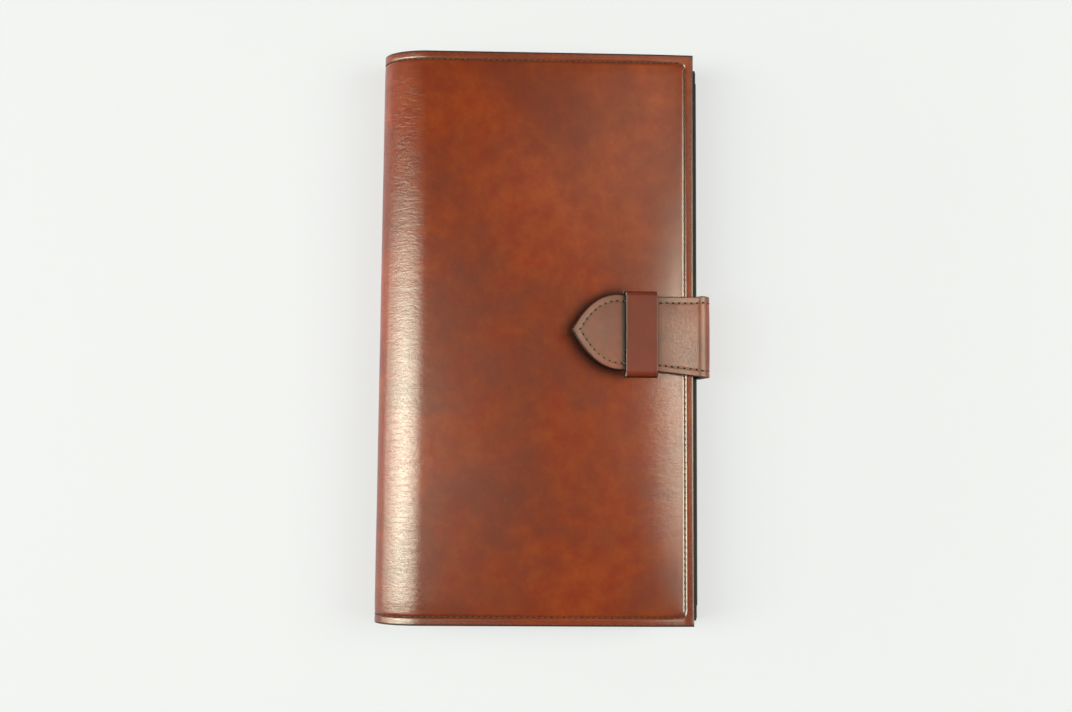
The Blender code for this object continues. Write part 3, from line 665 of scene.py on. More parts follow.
def sheet(name, u, v, edge, place, thick, materials, relief=0.0, rounding=0.45, paint=0.4,
          masks=None):
    """A closed leather solid from a flat grid of points."""
    rows, columns = u.shape
    outer_depth = relief + round_over(edge, rounding)
    inner_depth = np.maximum(thick - round_over(edge, rounding), outer_depth + 0.05)
    outer = place(u, v, outer_depth).reshape(-1, 3)
    inner = place(u, v, inner_depth).reshape(-1, 3)
    index = np.arange(rows * columns).reshape(rows, columns)
    a, b, c, d = index[:-1, :-1], index[1:, :-1], index[1:, 1:], index[:-1, 1:]
    top = np.stack([a, b, c, d], -1).reshape(-1, 4)
    bottom = top[:, ::-1] + rows * columns
    ring = np.concatenate([index[0, :-1], index[:-1, -1], index[-1, :0:-1], index[:0:-1, 0]])
    after = np.roll(ring, -1)
    wall = np.stack([ring, after, after + rows * columns, ring + rows * columns], -1)
    faces = np.concatenate([top, bottom, wall])
    near = edge.reshape(-1)
    face_edge = near[top].max(1)
    painted = (face_edge < paint).astype(int)
    wall_edge = near[wall[:, :2]].max(1)
    wall_paint = (wall_edge < paint).astype(int)
    under = painted.copy()
    if masks is not None and "pit" in masks:
        pit = masks["pit"].reshape(-1)[top].max(1)
        painted = np.where(pit > 0.5, 1, painted)
    face_materials = np.concatenate([painted, under, wall_paint])
    points = np.concatenate([outer, inner])
    piece = to_object(name, points, faces.tolist(), materials, face_materials)
    # A wall away from any cut edge is where two meshes of one skin meet. It is shaded flat, so
    # that it does not bend the shading of the skin beside it.
    smooth = np.ones(len(faces), bool)
    smooth[len(top) * 2:] = wall_edge <= SEAM_WALL
    piece.data.polygons.foreach_set("use_smooth", smooth)
    stored = {"rim": np.exp(-edge / 0.7), "groove": 0 * edge, "bend": 0 * edge, "painted_shadow": 0 * edge}
    stored.update(masks or {})
    for key, values in stored.items():
        if key != "pit":
            write_attribute(piece, key, np.concatenate([values.ravel(), values.ravel()]))
    return piece


def grid_lines(low, high, step, fine=(), low_edge=True, high_edge=True):
    """Grid lines that are close together near cut edges and in the fine zones."""
    near = np.array([0.0, 0.08, 0.2, 0.36, 0.6, 1.0, 1.6, 2.2])
    groove = np.arange(2.4, 3.75, 0.15)
    zones = []
    if low_edge:
        zones.append(low + np.concatenate([near, groove]))
    if high_edge:
        zones.append(high - np.concatenate([near, groove]))
    for centre, half, fine_step in fine:
        count = max(2, int(round(2 * half / fine_step)) + 1)
        zones.append(np.linspace(centre - half, centre + half, count))
    coarse = np.linspace(low, high, max(2, int(round((high - low) / step)) + 1))
    kept = coarse
    for zone in zones:
        inside = (kept > zone.min() - 0.3 * step) & (kept < zone.max() + 0.3 * step)
        kept = kept[~inside]
    lines = np.concatenate([kept, *zones])
    lines = np.unique(np.round(np.clip(lines, low, high), 4))
    keep = np.concatenate([[True], np.diff(lines) > 0.02])
    return np.concatenate([lines[keep], [high]]) if not keep[-1] else lines[keep]


def round_corner(u, v, corner_u, corner_v, radius):
    """Pull the points near one square corner on to a rounded one."""
    a = 1.0 - np.abs(u - corner_u) / radius
    b = 1.0 - np.abs(v - corner_v) / radius
    inside = (a > 0) & (b > 0)
    new_a = a * np.sqrt(1 - b ** 2 / 2)
    new_b = b * np.sqrt(1 - a ** 2 / 2)
    side_u = np.sign(corner_u - u)
    side_v = np.sign(corner_v - v)
    centre_u = corner_u - side_u * radius
    centre_v = corner_v - side_v * radius
    u_new = np.where(inside, centre_u + side_u * new_a * radius, u)
    v_new = np.where(inside, centre_v + side_v * new_b * radius, v)
    return u_new, v_new


def smooth_noise(u, v, size_u, size_v, seed):
    """Smooth seeded noise from -1 to 1, with cells of a given size in millimetres."""
    x = u / size_u + 1000.0
    y = v / size_v + 1000.0
    i, j = np.floor(x).astype(int), np.floor(y).astype(int)
    s, t = x - i, y - j
    s, t = s * s * (3 - 2 * s), t * t * (3 - 2 * t)

    def corner(p, q):
        mixed = np.sin(p * 127.1 + q * 311.7 + seed * 74.7) * 43758.5453
        return 2 * (mixed - np.floor(mixed)) - 1

    low = corner(i, j) * (1 - s) + corner(i + 1, j) * s
    high = corner(i, j + 1) * (1 - s) + corner(i + 1, j + 1) * s
    return low * (1 - t) + high * t


print("the sheet builder is ready")

# %% [markdown]
# ## The cover's bend
#
# Seen from its end, the cover is a straight run on the table, half an ellipse round the spine,
# and a straight run on top. `cover_place` turns a distance along the leather into a point on
# that path. The free edge of the front droops a little, as leather does with nothing under it,
# and the same droop is given to all that lies beneath it.

# %% The cover's path
steps = np.linspace(0.0, np.pi, 721)
bend_x = BEND_X - BEND_REACH * np.sin(steps)
bend_z = BEND_RISE - BEND_RISE * np.cos(steps)
bend_length = np.concatenate([[0.0], np.cumsum(np.hypot(np.diff(bend_x), np.diff(bend_z)))])
BACK_RUN = BACK_EDGE - BEND_X
FRONT_RUN = FRONT_EDGE - BEND_X
HALF_BEND = bend_length[-1] / 2
SPINE_U = BACK_RUN + HALF_BEND
END_U = BACK_RUN + bend_length[-1] + FRONT_RUN


def droop(x, y):
    """How far the front half's free side sinks, in millimetres."""
    reach = np.clip((x - 10.0) / (FRONT_EDGE - 10.0), 0.0, 1.3)
    stitch = FRONT_EDGE - STITCH_INSET
    curl = np.clip((np.minimum(x, stitch) - 33.0) / (stitch - 33.0), 0.0, 1.0)
    along = 0.75 + 0.25 * np.cos(y / HALF_LENGTH * 2.2 + 0.5)
    return (0.45 * reach ** 2 + 0.55 * curl ** 2) * along


def cover_place(u, v, depth):
    """A point of the cover from its distance along the leather, its Y and its depth."""
    u = np.asarray(u, float)
    on_bend = np.clip(u - BACK_RUN, 0.0, bend_length[-1])
    angle = np.interp(on_bend, bend_length, steps)
    out_x = -np.sin(angle) / BEND_REACH
    out_z = -np.cos(angle) / BEND_RISE
    size = np.hypot(out_x, out_z)
    out_x, out_z = out_x / size, out_z / size
    x = BEND_X - BEND_REACH * np.sin(angle)
    z = BEND_RISE - BEND_RISE * np.cos(angle)
    before = np.clip(BACK_RUN - u, 0.0, None)
    beyond = np.clip(u - BACK_RUN - bend_length[-1], 0.0, None)
    x = x + before + beyond - depth * out_x
    z = z - depth * out_z - np.where(beyond > 0, droop(x, v), 0.0)
    return np.stack([x, v + 0 * x, z], -1)


print(f"leather round the bend: {bend_length[-1]:.1f} mm, whole cover: {END_U:.1f} mm")

# %% [markdown]
# ## The tongue's outline
#
# The strap ends in a pointed arch. Its outline is needed twice: for the strap itself, and for a
# shadow painted dark into the cover round it, which deepens the shadow that the lamps cast from
# the raised tongue. A texture could paint that shadow, but it would have to be placed by eye; a
# distance from the same outline always fits.

# %% The tongue's outline
keeper_low, keeper_high = limits("keeper_loop")
KEEPER_X = (keeper_low[0], keeper_high[0])
TIP_X = limits("strap_tongue_outer")[0][0]
ROOT_X = limits("strap_root")[0][0]
STRAP_HALF = limits("strap_root")[1][1]
TONGUE_HALF = 12.7
TONGUE_SHIFT = -0.6
SHOULDER_X = 25.15


def tongue_centre(x):
    """The tongue lies a little askew."""
    begin = FRONT_EDGE - 0.5
    askew = TONGUE_SHIFT + 1.8 * (begin - x) / (begin - TIP_X)
    return np.where(x > begin, TONGUE_SHIFT, askew)


def strap_half_width(x, past_top):
    """Half the strap's width: it narrows a little past the edge and ends in a pointed arch."""
    plain = np.interp(x, [SHOULDER_X, 38.15, 50.15, 53.5],
                      [TONGUE_HALF, TONGUE_HALF, 13.4, STRAP_HALF])
    t = np.linspace(0, 1, 200)
    bend = TIP_X + 0.42 * (SHOULDER_X - TIP_X)
    arch_x = (1 - t) ** 2 * SHOULDER_X + 2 * t * (1 - t) * bend + t * t * TIP_X
    arch_w = TONGUE_HALF * ((1 - t) ** 2 + 2 * t * (1 - t))
    pointed = np.interp(x, arch_x[::-1], arch_w[::-1])
    width = np.where(x < SHOULDER_X, pointed, plain)
    return np.where(past_top, width, STRAP_HALF)


def tongue_shade(x, y):
    """Painted shadow of the raised tongue on the cover: 1 under it and at its outline, fading
    outwards; wider towards the foot, none past the keeper.
    """
    line_x = np.linspace(TIP_X, SHOULDER_X + 6, 90)
    half = strap_half_width(line_x, True)
    centre = tongue_centre(line_x)
    gap = np.full(np.shape(x), 99.0)
    inside = (x > TIP_X) & (np.abs(y - tongue_centre(x)) < strap_half_width(x, True))
    for side in (-1, 1):
        for px, py in zip(line_x, centre + side * half):
            gap = np.minimum(gap, np.hypot(x - px, y - py))
    reach = np.where(y < 0, 3.0, 2.1)
    before_keeper = np.clip((KEEPER_X[0] + 3.0 - x) / 5.0, 0.0, 1.0)
    return np.where(inside, 1.0, np.exp(-(gap / reach) ** 1.6)) * before_keeper


print(f"tongue: tip at {TIP_X:.1f}, keeper from {KEEPER_X[0]:.1f} to {KEEPER_X[1]:.1f}")

# %% [markdown]
# ## The outer leather
#
# It is one sheet on the real wallet. Two bodies move against the spine, and a mesh can bend
# across one joint only, so the sheet is made in two halves that meet on the spine's middle line.
# The relief holds the stitch groove, the slits for the keeper, and the slow waves and the short
# wrinkles that a hide has.


# %% Relief of the cover
def groove_distance(u, v, free_u):
    """Distance from the stitch line along the head, the free edge and the foot, inside > 0."""
    corner = STITCH_CORNER
    a = np.abs(free_u - u) - STITCH_INSET
    b = HALF_LENGTH - np.abs(v) - STITCH_INSET
    rounded = corner - np.hypot(np.clip(corner - a, 0, None), np.clip(corner - b, 0, None))
    return np.where((a < corner) & (b < corner), rounded, np.minimum(a, b))


def pad_profile(distance, depth=0.26, width=0.42):
    """A stitch groove; the thread also pulls down a wider, shallow valley on either side."""
    away = np.where(distance > 0, distance / 3.2, -distance / 2.4)
    return depth * np.exp(-(distance / width) ** 2) + 0.10 * np.exp(-away ** 2)


KEEPER_HALF = 14.3
SLIT_SPARE = 0.35
SLIT_DEPTH = 1.55
ROOT_HALF = 14.1
ROOT_SPARE = 0.3
ROOT_RECESS = 1.12
STEEP = 0.15


def slit_mask(x, y):
    """1 inside the two slits that the keeper's legs pass."""
    inner, outer = KEEPER_HALF - 1.25, KEEPER_HALF + 0.2
    in_y = np.minimum(np.abs(y) - inner, outer - np.abs(y))
    in_x = np.minimum(x - (KEEPER_X[0] - SLIT_SPARE), KEEPER_X[1] + SLIT_SPARE - x)
    return np.clip(np.minimum(in_y, in_x) / STEEP + 0.5, 0.0, 1.0)


def cover_relief(u, v, free_u, front):
    """Depth of the outer face below its plain shape, and what the material needs to know."""
    distance = groove_distance(u, v, free_u)
    depth = pad_profile(distance)
    on_bend = np.exp(-((u - SPINE_U) / (HALF_BEND * 1.05)) ** 4)
    wave = 0.08 * smooth_noise(u, v, 34.0, 42.0, 3) + 0.02 * smooth_noise(u, v, 9.0, 12.0, 7)
    low_half = 0.5 - 0.5 * np.clip(v / 60.0, -1, 1)
    wrinkle = 0.009 * smooth_noise(u, v, 9.0, 2.3, 11) + 0.010 * smooth_noise(u, v, 5.0, 1.4, 13)
    inner = np.clip((np.minimum(np.abs(free_u - u), HALF_LENGTH - np.abs(v)) - 3.0) / 4.0, 0, 1)
    near_free = np.exp(-((np.abs(free_u - u) - 9.0) / 8.0) ** 2) * np.exp(-((v + 35.0) / 32.0) ** 2)
    depth = depth + (wave + (on_bend * (0.6 + 0.8 * low_half) + 0.7 * near_free) * wrinkle) * inner
    pit, painted_shadow = np.zeros_like(u), np.zeros_like(u)
    if front:
        x = u - (END_U - FRONT_EDGE)
        # The raised tongue's shadow on the front cover is painted into its colour.
        painted_shadow = tongue_shade(x, v)
        pit = slit_mask(x, v)
        depth = depth + SLIT_DEPTH * pit
    else:
        recess = np.minimum(ROOT_HALF - np.abs(v), BACK_EDGE - u - (ROOT_X - ROOT_SPARE))
        recess = np.clip(recess / STEEP + 0.5, 0.0, 1.0)
        depth = depth * (1 - recess) + ROOT_RECESS * recess
    bend = np.clip(on_bend * (0.5 + 0.7 * low_half) + 0.7 * near_free, 0.0, 1.0)
    masks = {"groove": np.exp(-(distance / 0.38) ** 2), "bend": bend, "pit": pit, "painted_shadow": painted_shadow}
    return depth, masks


# %% [markdown]
# A flat grid carries all of this. Its lines stand closer together where the shape is fine: along
# the cut edges and the stitch groove, round the slits and the strap's recess, and on the bend.
# An even grid as fine as that everywhere would be many times heavier. The front half, which is
# what one sees, gets closer lines along its length than the back.

# %% Build the two halves of the cover
def rectangle(u_lines, v_lines, free, corners=1.5):
    """A flat grid, its distance to the free edges, and its rounded free corners."""
    u, v = np.meshgrid(u_lines, v_lines, indexing="ij")
    edge = np.full_like(u, 99.0)
    if free[0]:
        edge = np.minimum(edge, u - u_lines[0])
    if free[1]:
        edge = np.minimum(edge, u_lines[-1] - u)
    edge = np.minimum(edge, np.minimum(v - v_lines[0], v_lines[-1] - v))
    for is_free, corner_u in zip(free, (u_lines[0], u_lines[-1])):
        if is_free:
            for corner_v in (v_lines[0], v_lines[-1]):
                u, v = round_corner(u, v, corner_u, corner_v, corners)
    return u, v, edge


def half_range(front):
    """Where one half of the cover starts and ends, and the middle of its part of the bend."""
    low, high = (SPINE_U, END_U) if front else (0.0, SPINE_U)
    return low, high, SPINE_U + (HALF_BEND / 2 if front else -HALF_BEND / 2)


def cover_half(name, front, step_v):
    """One half of the outer leather, from the spine's middle line to its free edge."""
    if front:
        fine_v = [(side * (KEEPER_HALF - 0.5), 1.4, 0.14) for side in (-1, 1)]
        shift = END_U - FRONT_EDGE
        fine_u = [(x + shift, 0.8, 0.14) for x in KEEPER_X]
    else:
        fine_v = [(side * ROOT_HALF, 0.5, 0.12) for side in (-1, 1)]
        fine_u = [(BACK_EDGE - ROOT_X + ROOT_SPARE, 0.4, 0.12)]
    low, high, bend_middle = half_range(front)
    fine_u.append((bend_middle, HALF_BEND / 2, 0.7))
    u_lines = grid_lines(low, high, 2.0, fine_u, low_edge=not front, high_edge=front)
    v_lines = grid_lines(-HALF_LENGTH, HALF_LENGTH, step_v, fine_v)
    u, v, edge = rectangle(u_lines, v_lines, (not front, front))
    relief, masks = cover_relief(u, v, END_U if front else 0.0, front)
    piece = sheet(name, u, v, edge, cover_place, LEATHER, [COVER, EDGE], relief, 0.5, 0.6, masks)
    return piece


cover_front = cover_half("cover_front", True, 0.6)
cover_back = cover_half("cover_back", False, 1.2)
print("cover:", len(cover_front.data.vertices), "and", len(cover_back.data.vertices), "points")


# %% [markdown]
# Leather does not hinge on a line, it bends over a length. Here each piece's place is only baked
# into its mesh.


def bend_back(piece):
    """Bake a piece's place into its mesh."""
    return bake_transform(piece)


def bend_front(piece):
    """Bake a piece's place into its mesh."""
    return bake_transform(piece)


bend_back(cover_back)
bend_front(cover_front)
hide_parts("outer_back", "outer_spine")
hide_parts("outer_front")
print("the cover bends over", round(2 * HALF_BEND, 1), "mm of leather")

# %% [markdown]
# ## The lining
#
# Black leather backs the whole cover. Its corners are cut nearly square, so it peeps out behind
# the rounded corners of the outer leather.

# %% Build the lining
LINING_DEPTH = LEATHER + 0.1
LINING_THICK = 0.9


def lining_half(name, front):
    """One half of the lining, glued to the outer leather's flesh side."""
    low, high, bend_middle = half_range(front)
    u_lines = grid_lines(low, high, 4.0, [(bend_middle, HALF_BEND / 2, 1.0)], not front, front)
    v_lines = grid_lines(-HALF_LENGTH, HALF_LENGTH, 4.0)
    u, v, edge = rectangle(u_lines, v_lines, (not front, front), 0.3)

    def place(u, v, depth):
        return cover_place(u, v, depth + LINING_DEPTH)

    piece = sheet(name, u, v, edge, place, LINING_THICK, [LINING, EDGE], 0.0, 0.2, 0.15)
    return piece


lining_top = lining_half("lining_top", True)
lining_under = lining_half("lining_under", False)
bend_front(lining_top)
bend_back(lining_under)
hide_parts("lining_front")
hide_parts("lining_back", "lining_spine")
print("lining:", len(lining_top.data.vertices) + len(lining_under.data.vertices), "points")

# %% [markdown]
# ## Stitches
#
# The seams are saddle stitched by hand: one stitch every two millimetres, each a little aslant,
# dipping into its needle hole at both ends. One stitch is modelled as a bent tube in a small
# coordinate system of its own: `t` along the seam, `c` across it, `h` above the leather. Every
# other stitch is a copy of those numbers, placed by the same function that places the leather.

# %% One stitch
RINGS, SIDES = 7, 6


def stitch_shape(length, width, height, sink):
    """Points (t, c, h) and faces of one stitch."""
    t = np.linspace(-1, 1, RINGS)
    middle = height * (1 - np.abs(t) ** 3) - sink * np.abs(t) ** 5
    size = 1.0 - 0.35 * np.abs(t) ** 4
    angle = np.arange(SIDES) * 2 * np.pi / SIDES
    points = []
    for along, lift, scale in zip(t, middle, size):
        for a in angle:
            points.append((along * length / 2, math.cos(a) * width / 2 * scale,
                           lift + math.sin(a) * width * 0.42 * scale))
    faces = []
    for i in range(RINGS - 1):
        for j in range(SIDES):
            k = (j + 1) % SIDES
            faces.append((i * SIDES + j, i * SIDES + k, (i + 1) * SIDES + k, (i + 1) * SIDES + j))
    faces.append(tuple(range(SIDES))[::-1])
    faces.append(tuple((RINGS - 1) * SIDES + j for j in range(SIDES)))
    return np.array(points), faces


def hole_shape(length, width):
    """Points (t, c, h) and faces of one flat oval needle hole, a thin closed lens whose dark colour
    paints the hole's shade.
    """
    angle = np.arange(8) * np.pi / 4
    rim = [(math.cos(a) * length / 2, math.sin(a) * width / 2, 0.0) for a in angle]
    points = rim + [(0, 0, 0.03), (0, 0, -0.12)]
    faces = [(j, (j + 1) % 8, 8) for j in range(8)]
    faces += [((j + 1) % 8, j, 9) for j in range(8)]
    return np.array(points), faces


def along_line(points, pitch):
    """Holes along a flat line of corners: their places, directions, and the stitches between."""
    points = np.asarray(points, float)
    length = np.concatenate([[0.0], np.cumsum(np.hypot(*np.diff(points, axis=0).T))])
    count = max(1, int(round(length[-1] / pitch)))
    at = np.linspace(0.0, length[-1], count + 1)
    holes = np.stack([np.interp(at, length, points[:, k]) for k in (0, 1)], -1)
    middles = (holes[1:] + holes[:-1]) / 2
    ways = holes[1:] - holes[:-1]
    gaps = np.hypot(*ways.T)
    return holes, middles, ways / gaps[:, None], gaps


def copies(shape, middles, ways, place, depth, slant=0.0, scale=None, wobble=0.0):
    """Copies of a small shape at flat places, all as one list of points and faces."""
    template, faces = shape
    made = []
    for n, (middle, way) in enumerate(zip(middles, ways)):
        turn = slant + wobble * math.sin(n * 12.9898)
        cos, sin = math.cos(turn), math.sin(turn)
        along = np.array([way[0] * cos - way[1] * sin, way[0] * sin + way[1] * cos])
        side = np.array([-along[1], along[0]])
        stretch_by = 1.0 if scale is None else scale[n]
        flat = middle + template[:, :1] * stretch_by * along + template[:, 1:2] * side
        made.append((place(flat[:, 0], flat[:, 1], depth - template[:, 2]), faces))
    return join(made)


def seam(name, lines, place, body_call, pitch=2.0, depth=0.24, width=0.38, slant=0.14, hole=0.56,
         yarn=THREAD):
    """The thread and the needle holes of a seam that follows flat lines."""
    made = []
    for kind, material in (("thread", yarn), ("holes", HOLE_SHADE)):
        parts = []
        for line in lines:
            holes, middles, ways, gaps = along_line(line, pitch)
            if kind == "thread":
                parts.append(copies(stitch_shape(1.0, width, 0.10, 0.42), middles, ways, place,
                                    depth, slant, gaps * 0.86, 0.05))
            else:
                hole_ways = np.concatenate([ways, ways[-1:]])
                parts.append(copies(hole_shape(hole, hole * 0.8), holes, hole_ways, place,
                                    depth + 0.02, 0.3))
        piece = to_object(f"{name}_{kind}", *join(parts), [material])
        body_call(piece)
        made.append(piece)
    return made


# %% [markdown]
# One seam runs round each half: along the head, round the corner, down the open edge and back
# along the foot. On the back half it stops on either side of the strap, whose root is sewn on
# there. Each seam starts and ends on the spine's middle line.

# %% Seams round the covers
STRAP_SEAM_STOP = 15.2


def cover_seam_line(front):
    """The stitch line of one half, from the head side of the spine round to the foot side."""
    free = END_U if front else 0.0
    sign = -1 if front else 1
    line_u = free + sign * STITCH_INSET
    line_v = HALF_LENGTH - STITCH_INSET
    head = []
    for i in range(7):
        a = math.radians(90 * i / 6)
        head.append((line_u + sign * STITCH_CORNER * (1 - math.sin(a)),
                     line_v - STITCH_CORNER * (1 - math.cos(a))))
    half = [(SPINE_U, line_v)] + head
    if front:
        return [half + [(u, -v) for u, v in reversed(half)]]
    stop = [(line_u, STRAP_SEAM_STOP)]
    return [half + stop, [(u, -v) for u, v in half + stop]]


front_seam = seam("seam_front", cover_seam_line(True), cover_place, bend_front)
back_seam = seam("seam_back", cover_seam_line(False), cover_place, bend_back)
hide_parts("thread_cover_front")
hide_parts("thread_back_head", "thread_back_foot",
            "thread_spine_head", "thread_spine_foot")
print("cover seams:", len(front_seam[0].data.vertices) + len(back_seam[0].data.vertices), "points")

# %% [markdown]
# ## The strap
#
# The strap is two plies sewn together. Its path starts under the back cover, turns up round the
# open edge, turns over the top, passes through the keeper and ends in a raised point. The path
# is drawn once in millimetres, and `strap_place` bends a flat strap on to it. Each ply is made
# in two lengths that meet half-way up the wrap.

# %% Following a drawn path
def arc_points(centre, radius, start, end, count):
    """Points along an arc, with its angles in degrees."""
    angle = np.radians(np.linspace(start, end, count))
    return np.stack([centre[0] + radius * np.cos(angle), centre[1] + radius * np.sin(angle)], -1)


def follower(points):
    """The lengths along a flat path, and a function to the point at any length and depth.

    The depth is measured to the left of the way the path runs.
    """
    points = np.asarray(points, float)
    at = np.concatenate([[0.0], np.cumsum(np.hypot(*np.diff(points, axis=0).T))])
    way = np.gradient(points, at, axis=0)
    way /= np.hypot(*way.T)[:, None]

    def follow(length, depth):
        first = np.interp(length, at, points[:, 0]) - depth * np.interp(length, at, way[:, 1])
        second = np.interp(length, at, points[:, 1]) + depth * np.interp(length, at, way[:, 0])
        return first, second

    return at, follow


# %% [markdown]
# The path is a chain of straight runs and arcs. The strap is stiff where it turns, so its two
# corners have their own radii: small at the foot, where it is sewn down, and wider at the top.
# Past the edge it sags a little on to the cover, and its tip lifts where nothing holds it.

# %% The strap's path
STRAP_X = limits("strap_wrap_outer")[1][0]
ROOT_CORNER = 2.3
TOP_CORNER = 4.0
TONGUE_TOP = 22.5
TIP_RISE = 2.3
STRAP_PLY = 1.1
ROOT_PLY = 0.95
PLY_GAP = 0.08
STRAP_LINING = 0.9


def top_of_strap(x):
    """Height of the strap's good side over the cover: it sags past the edge and its tip lifts."""
    lift = TIP_RISE * np.clip((KEEPER_X[0] - x) / (KEEPER_X[0] - TIP_X), 0.0, 1.2) ** 1.5
    slope = 1.1 * np.clip((x - KEEPER_X[1]) / 14.0, 0.0, 1.0) ** 1.5
    return TONGUE_TOP + lift - slope


root_run = np.stack([np.linspace(ROOT_X, STRAP_X - ROOT_CORNER, 40), np.zeros(40)], -1)
foot_turn = arc_points((STRAP_X - ROOT_CORNER, ROOT_CORNER), ROOT_CORNER, -90, 0, 24)
turn_top = top_of_strap(STRAP_X - TOP_CORNER)
upright = np.stack([np.full(20, STRAP_X), np.linspace(ROOT_CORNER, turn_top - TOP_CORNER, 20)], -1)
head_turn = arc_points((STRAP_X - TOP_CORNER, turn_top - TOP_CORNER), TOP_CORNER, 0, 90, 30)
over_x = np.linspace(STRAP_X - TOP_CORNER, TIP_X - 2, 120)
over = np.stack([over_x, top_of_strap(over_x)], -1)
path = np.concatenate([root_run, foot_turn[1:], upright[1:], head_turn[1:], over[1:]])
path_length, strap_point = follower(path)


def strap_place(s, y, depth):
    """A point of the strap from its distance along the path, its Y and its depth."""
    x, z = strap_point(np.asarray(s, float), depth)
    return np.stack([x, y + 0 * x, z], -1)


WRAP_START = path_length[len(root_run) + len(foot_turn) - 2]
WRAP_END = path_length[len(root_run) + len(foot_turn) + len(upright) - 3]
OVER_START = path_length[len(root_run) + len(foot_turn) + len(upright) + len(head_turn) - 4]
WRAP_MIDDLE = (WRAP_START + WRAP_END) / 2
TIP_S = np.interp(-TIP_X, -path[-119:, 0], path_length[-119:])
print(f"strap: {TIP_S:.1f} mm long, wrap from {WRAP_START:.1f} to {WRAP_END:.1f}")

# %% [markdown]
# The grid's lengthwise lines follow the outline, so that they close up towards the tip and leave
# a clean cut edge. The distance to that edge is then measured on the flat, for the rounding, the
# paint and the stitch groove.


# %% The strap's outline
def strap_grid(s_lines, share):
    """Flat strap: lengthwise lines follow its outline."""
    x, z = strap_point(s_lines, 0.0)
    past_top = s_lines > WRAP_END
    half = strap_half_width(x, past_top)
    up_the_wrap = np.clip((s_lines - WRAP_START) / (WRAP_END - WRAP_START), 0, 1)
    centre = np.where(past_top, tongue_centre(x), TONGUE_SHIFT * up_the_wrap)
    s = np.repeat(s_lines[:, None], len(share), 1)
    y = centre[:, None] + half[:, None] * share[None, :]
    return s, y


def outline_distance(s, y):
    """Distance from each flat point to the strap's outline."""
    trace_s = np.concatenate([np.linspace(0, TIP_S - 17, 60), np.linspace(TIP_S - 17, TIP_S, 160)])
    upper_s, upper_y = strap_grid(trace_s, np.array([-1.0, 1.0]))
    best = np.full(s.shape, 99.0)
    for side in (0, 1):
        line = np.stack([upper_s[:, side], upper_y[:, side]], -1)
        a, b = line[:-1], line[1:]
        way = b - a
        size = np.maximum((way ** 2).sum(1), 1e-12)
        flat = np.stack([s.ravel(), y.ravel()], -1)
        for start in range(0, len(flat), 4000):
            part = flat[start:start + 4000, None, :] - a[None]
            t = np.clip((part * way[None]).sum(-1) / size, 0, 1)
            gap = np.sqrt(((part - t[..., None] * way[None]) ** 2).sum(-1)).min(1)
            view = best.ravel()[start:start + 4000]
            best.ravel()[start:start + 4000] = np.minimum(view, gap)
    return np.minimum(best, s)


def strap_shares():
    """Lengthwise lines, closer together along both edges."""
    near = np.array([0.0, 0.08, 0.2, 0.36, 0.6, 1.0, 1.4, 1.7, 1.85, 2.0, 2.1, 2.2, 2.3, 2.4,
                     2.55, 2.7, 3.0, 3.6]) / STRAP_HALF
    side = 1.0 - near
    middle = np.linspace(-side[-1], side[-1], 28)[1:-1]
    return np.concatenate([-side, middle, side[::-1]])


# %% [markdown]
# The outer ply is the good leather, the inner one a thin black lining; a hair's gap keeps them
# apart. Each is built in a lower and an upper length.

# %% Build the two plies
STRAP_INSET = 2.2


def strap_ply(name, low, high, depth, thick, materials, grooved):
    """One length of one ply. The good side has the stitch grooves and a painted shadow beside the
    keeper.
    """
    s_lines = np.linspace(low, high, int((high - low) / 0.45))
    if low == 0.0:
        s_lines = np.unique(np.concatenate([[0.0, 0.08, 0.2, 0.36, 0.6, 1.0], s_lines[2:]]))
    if high == TIP_S:
        s_lines = np.concatenate([s_lines[:-2], TIP_S - np.array([0.36, 0.2, 0.08, 0.015])])
    s, y = strap_grid(s_lines, strap_shares())
    edge = outline_distance(s, y)
    distance = edge - STRAP_INSET
    relief = pad_profile(distance, 0.06, 0.36) if grooved else np.zeros_like(edge)
    relief = relief + 0.03 * smooth_noise(s, y, 8.0, 7.0, depth + 21)
    x = strap_point(s, 0.0)[0]
    # The keeper's shadow on the strap, just before the keeper's left edge, is painted dark.
    before_keeper = np.minimum(x, KEEPER_X[0]) - KEEPER_X[0]
    keeper_shadow = np.where(x < KEEPER_X[0] + 1.0, np.exp(-(before_keeper / 1.5) ** 6), 0.0)
    masks = {"groove": 0.25 * np.exp(-(distance / 0.4) ** 2) * (1.0 if grooved else 0.0),
             "painted_shadow": keeper_shadow * (s > WRAP_END),
             "bend": (s > OVER_START) * np.clip((x - KEEPER_X[1]) / 2.0, 0.0, 1.0)}

    def place(s, y, d):
        return strap_place(s, y, d + depth)

    return sheet(name, s, y, edge, place, thick, materials, relief, 0.35, 0.22, masks)


def bend_lower(piece):
    """Bake a piece's place into its mesh."""
    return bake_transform(piece)


def bend_upper(piece):
    """Bake a piece's place into its mesh."""
    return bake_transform(piece)


for part, low, high, body_call in (("lower", 0.0, WRAP_MIDDLE, bend_lower),
                                   ("upper", WRAP_MIDDLE, TIP_S, bend_upper)):
    thin = ROOT_PLY if part == "lower" else STRAP_PLY
    outer = strap_ply(f"strap_{part}_outer", low, high, 0.0, thin, [STRAP, EDGE], True)
    begin = WRAP_START - 1.5 if part == "lower" else low
    inner = strap_ply(f"strap_{part}_lining", begin, high, STRAP_PLY + PLY_GAP, STRAP_LINING,
                      [LINING, EDGE], False)
    for piece, slot in ((outer, "strap_leather"), (inner, "lining_leather")):
        body_call(piece)
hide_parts("strap_root", "strap_wrap_outer")
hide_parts("strap_wrap_lining")
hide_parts("strap_tongue_outer")
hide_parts("strap_tongue_lining")


# %% [markdown]
# The strap's seams run close to both edges and meet at the tip. At the other end one more row
# goes across and holds the root to the back cover. They use the same stitch as the cover, in a
# paler thread with longer needle holes.

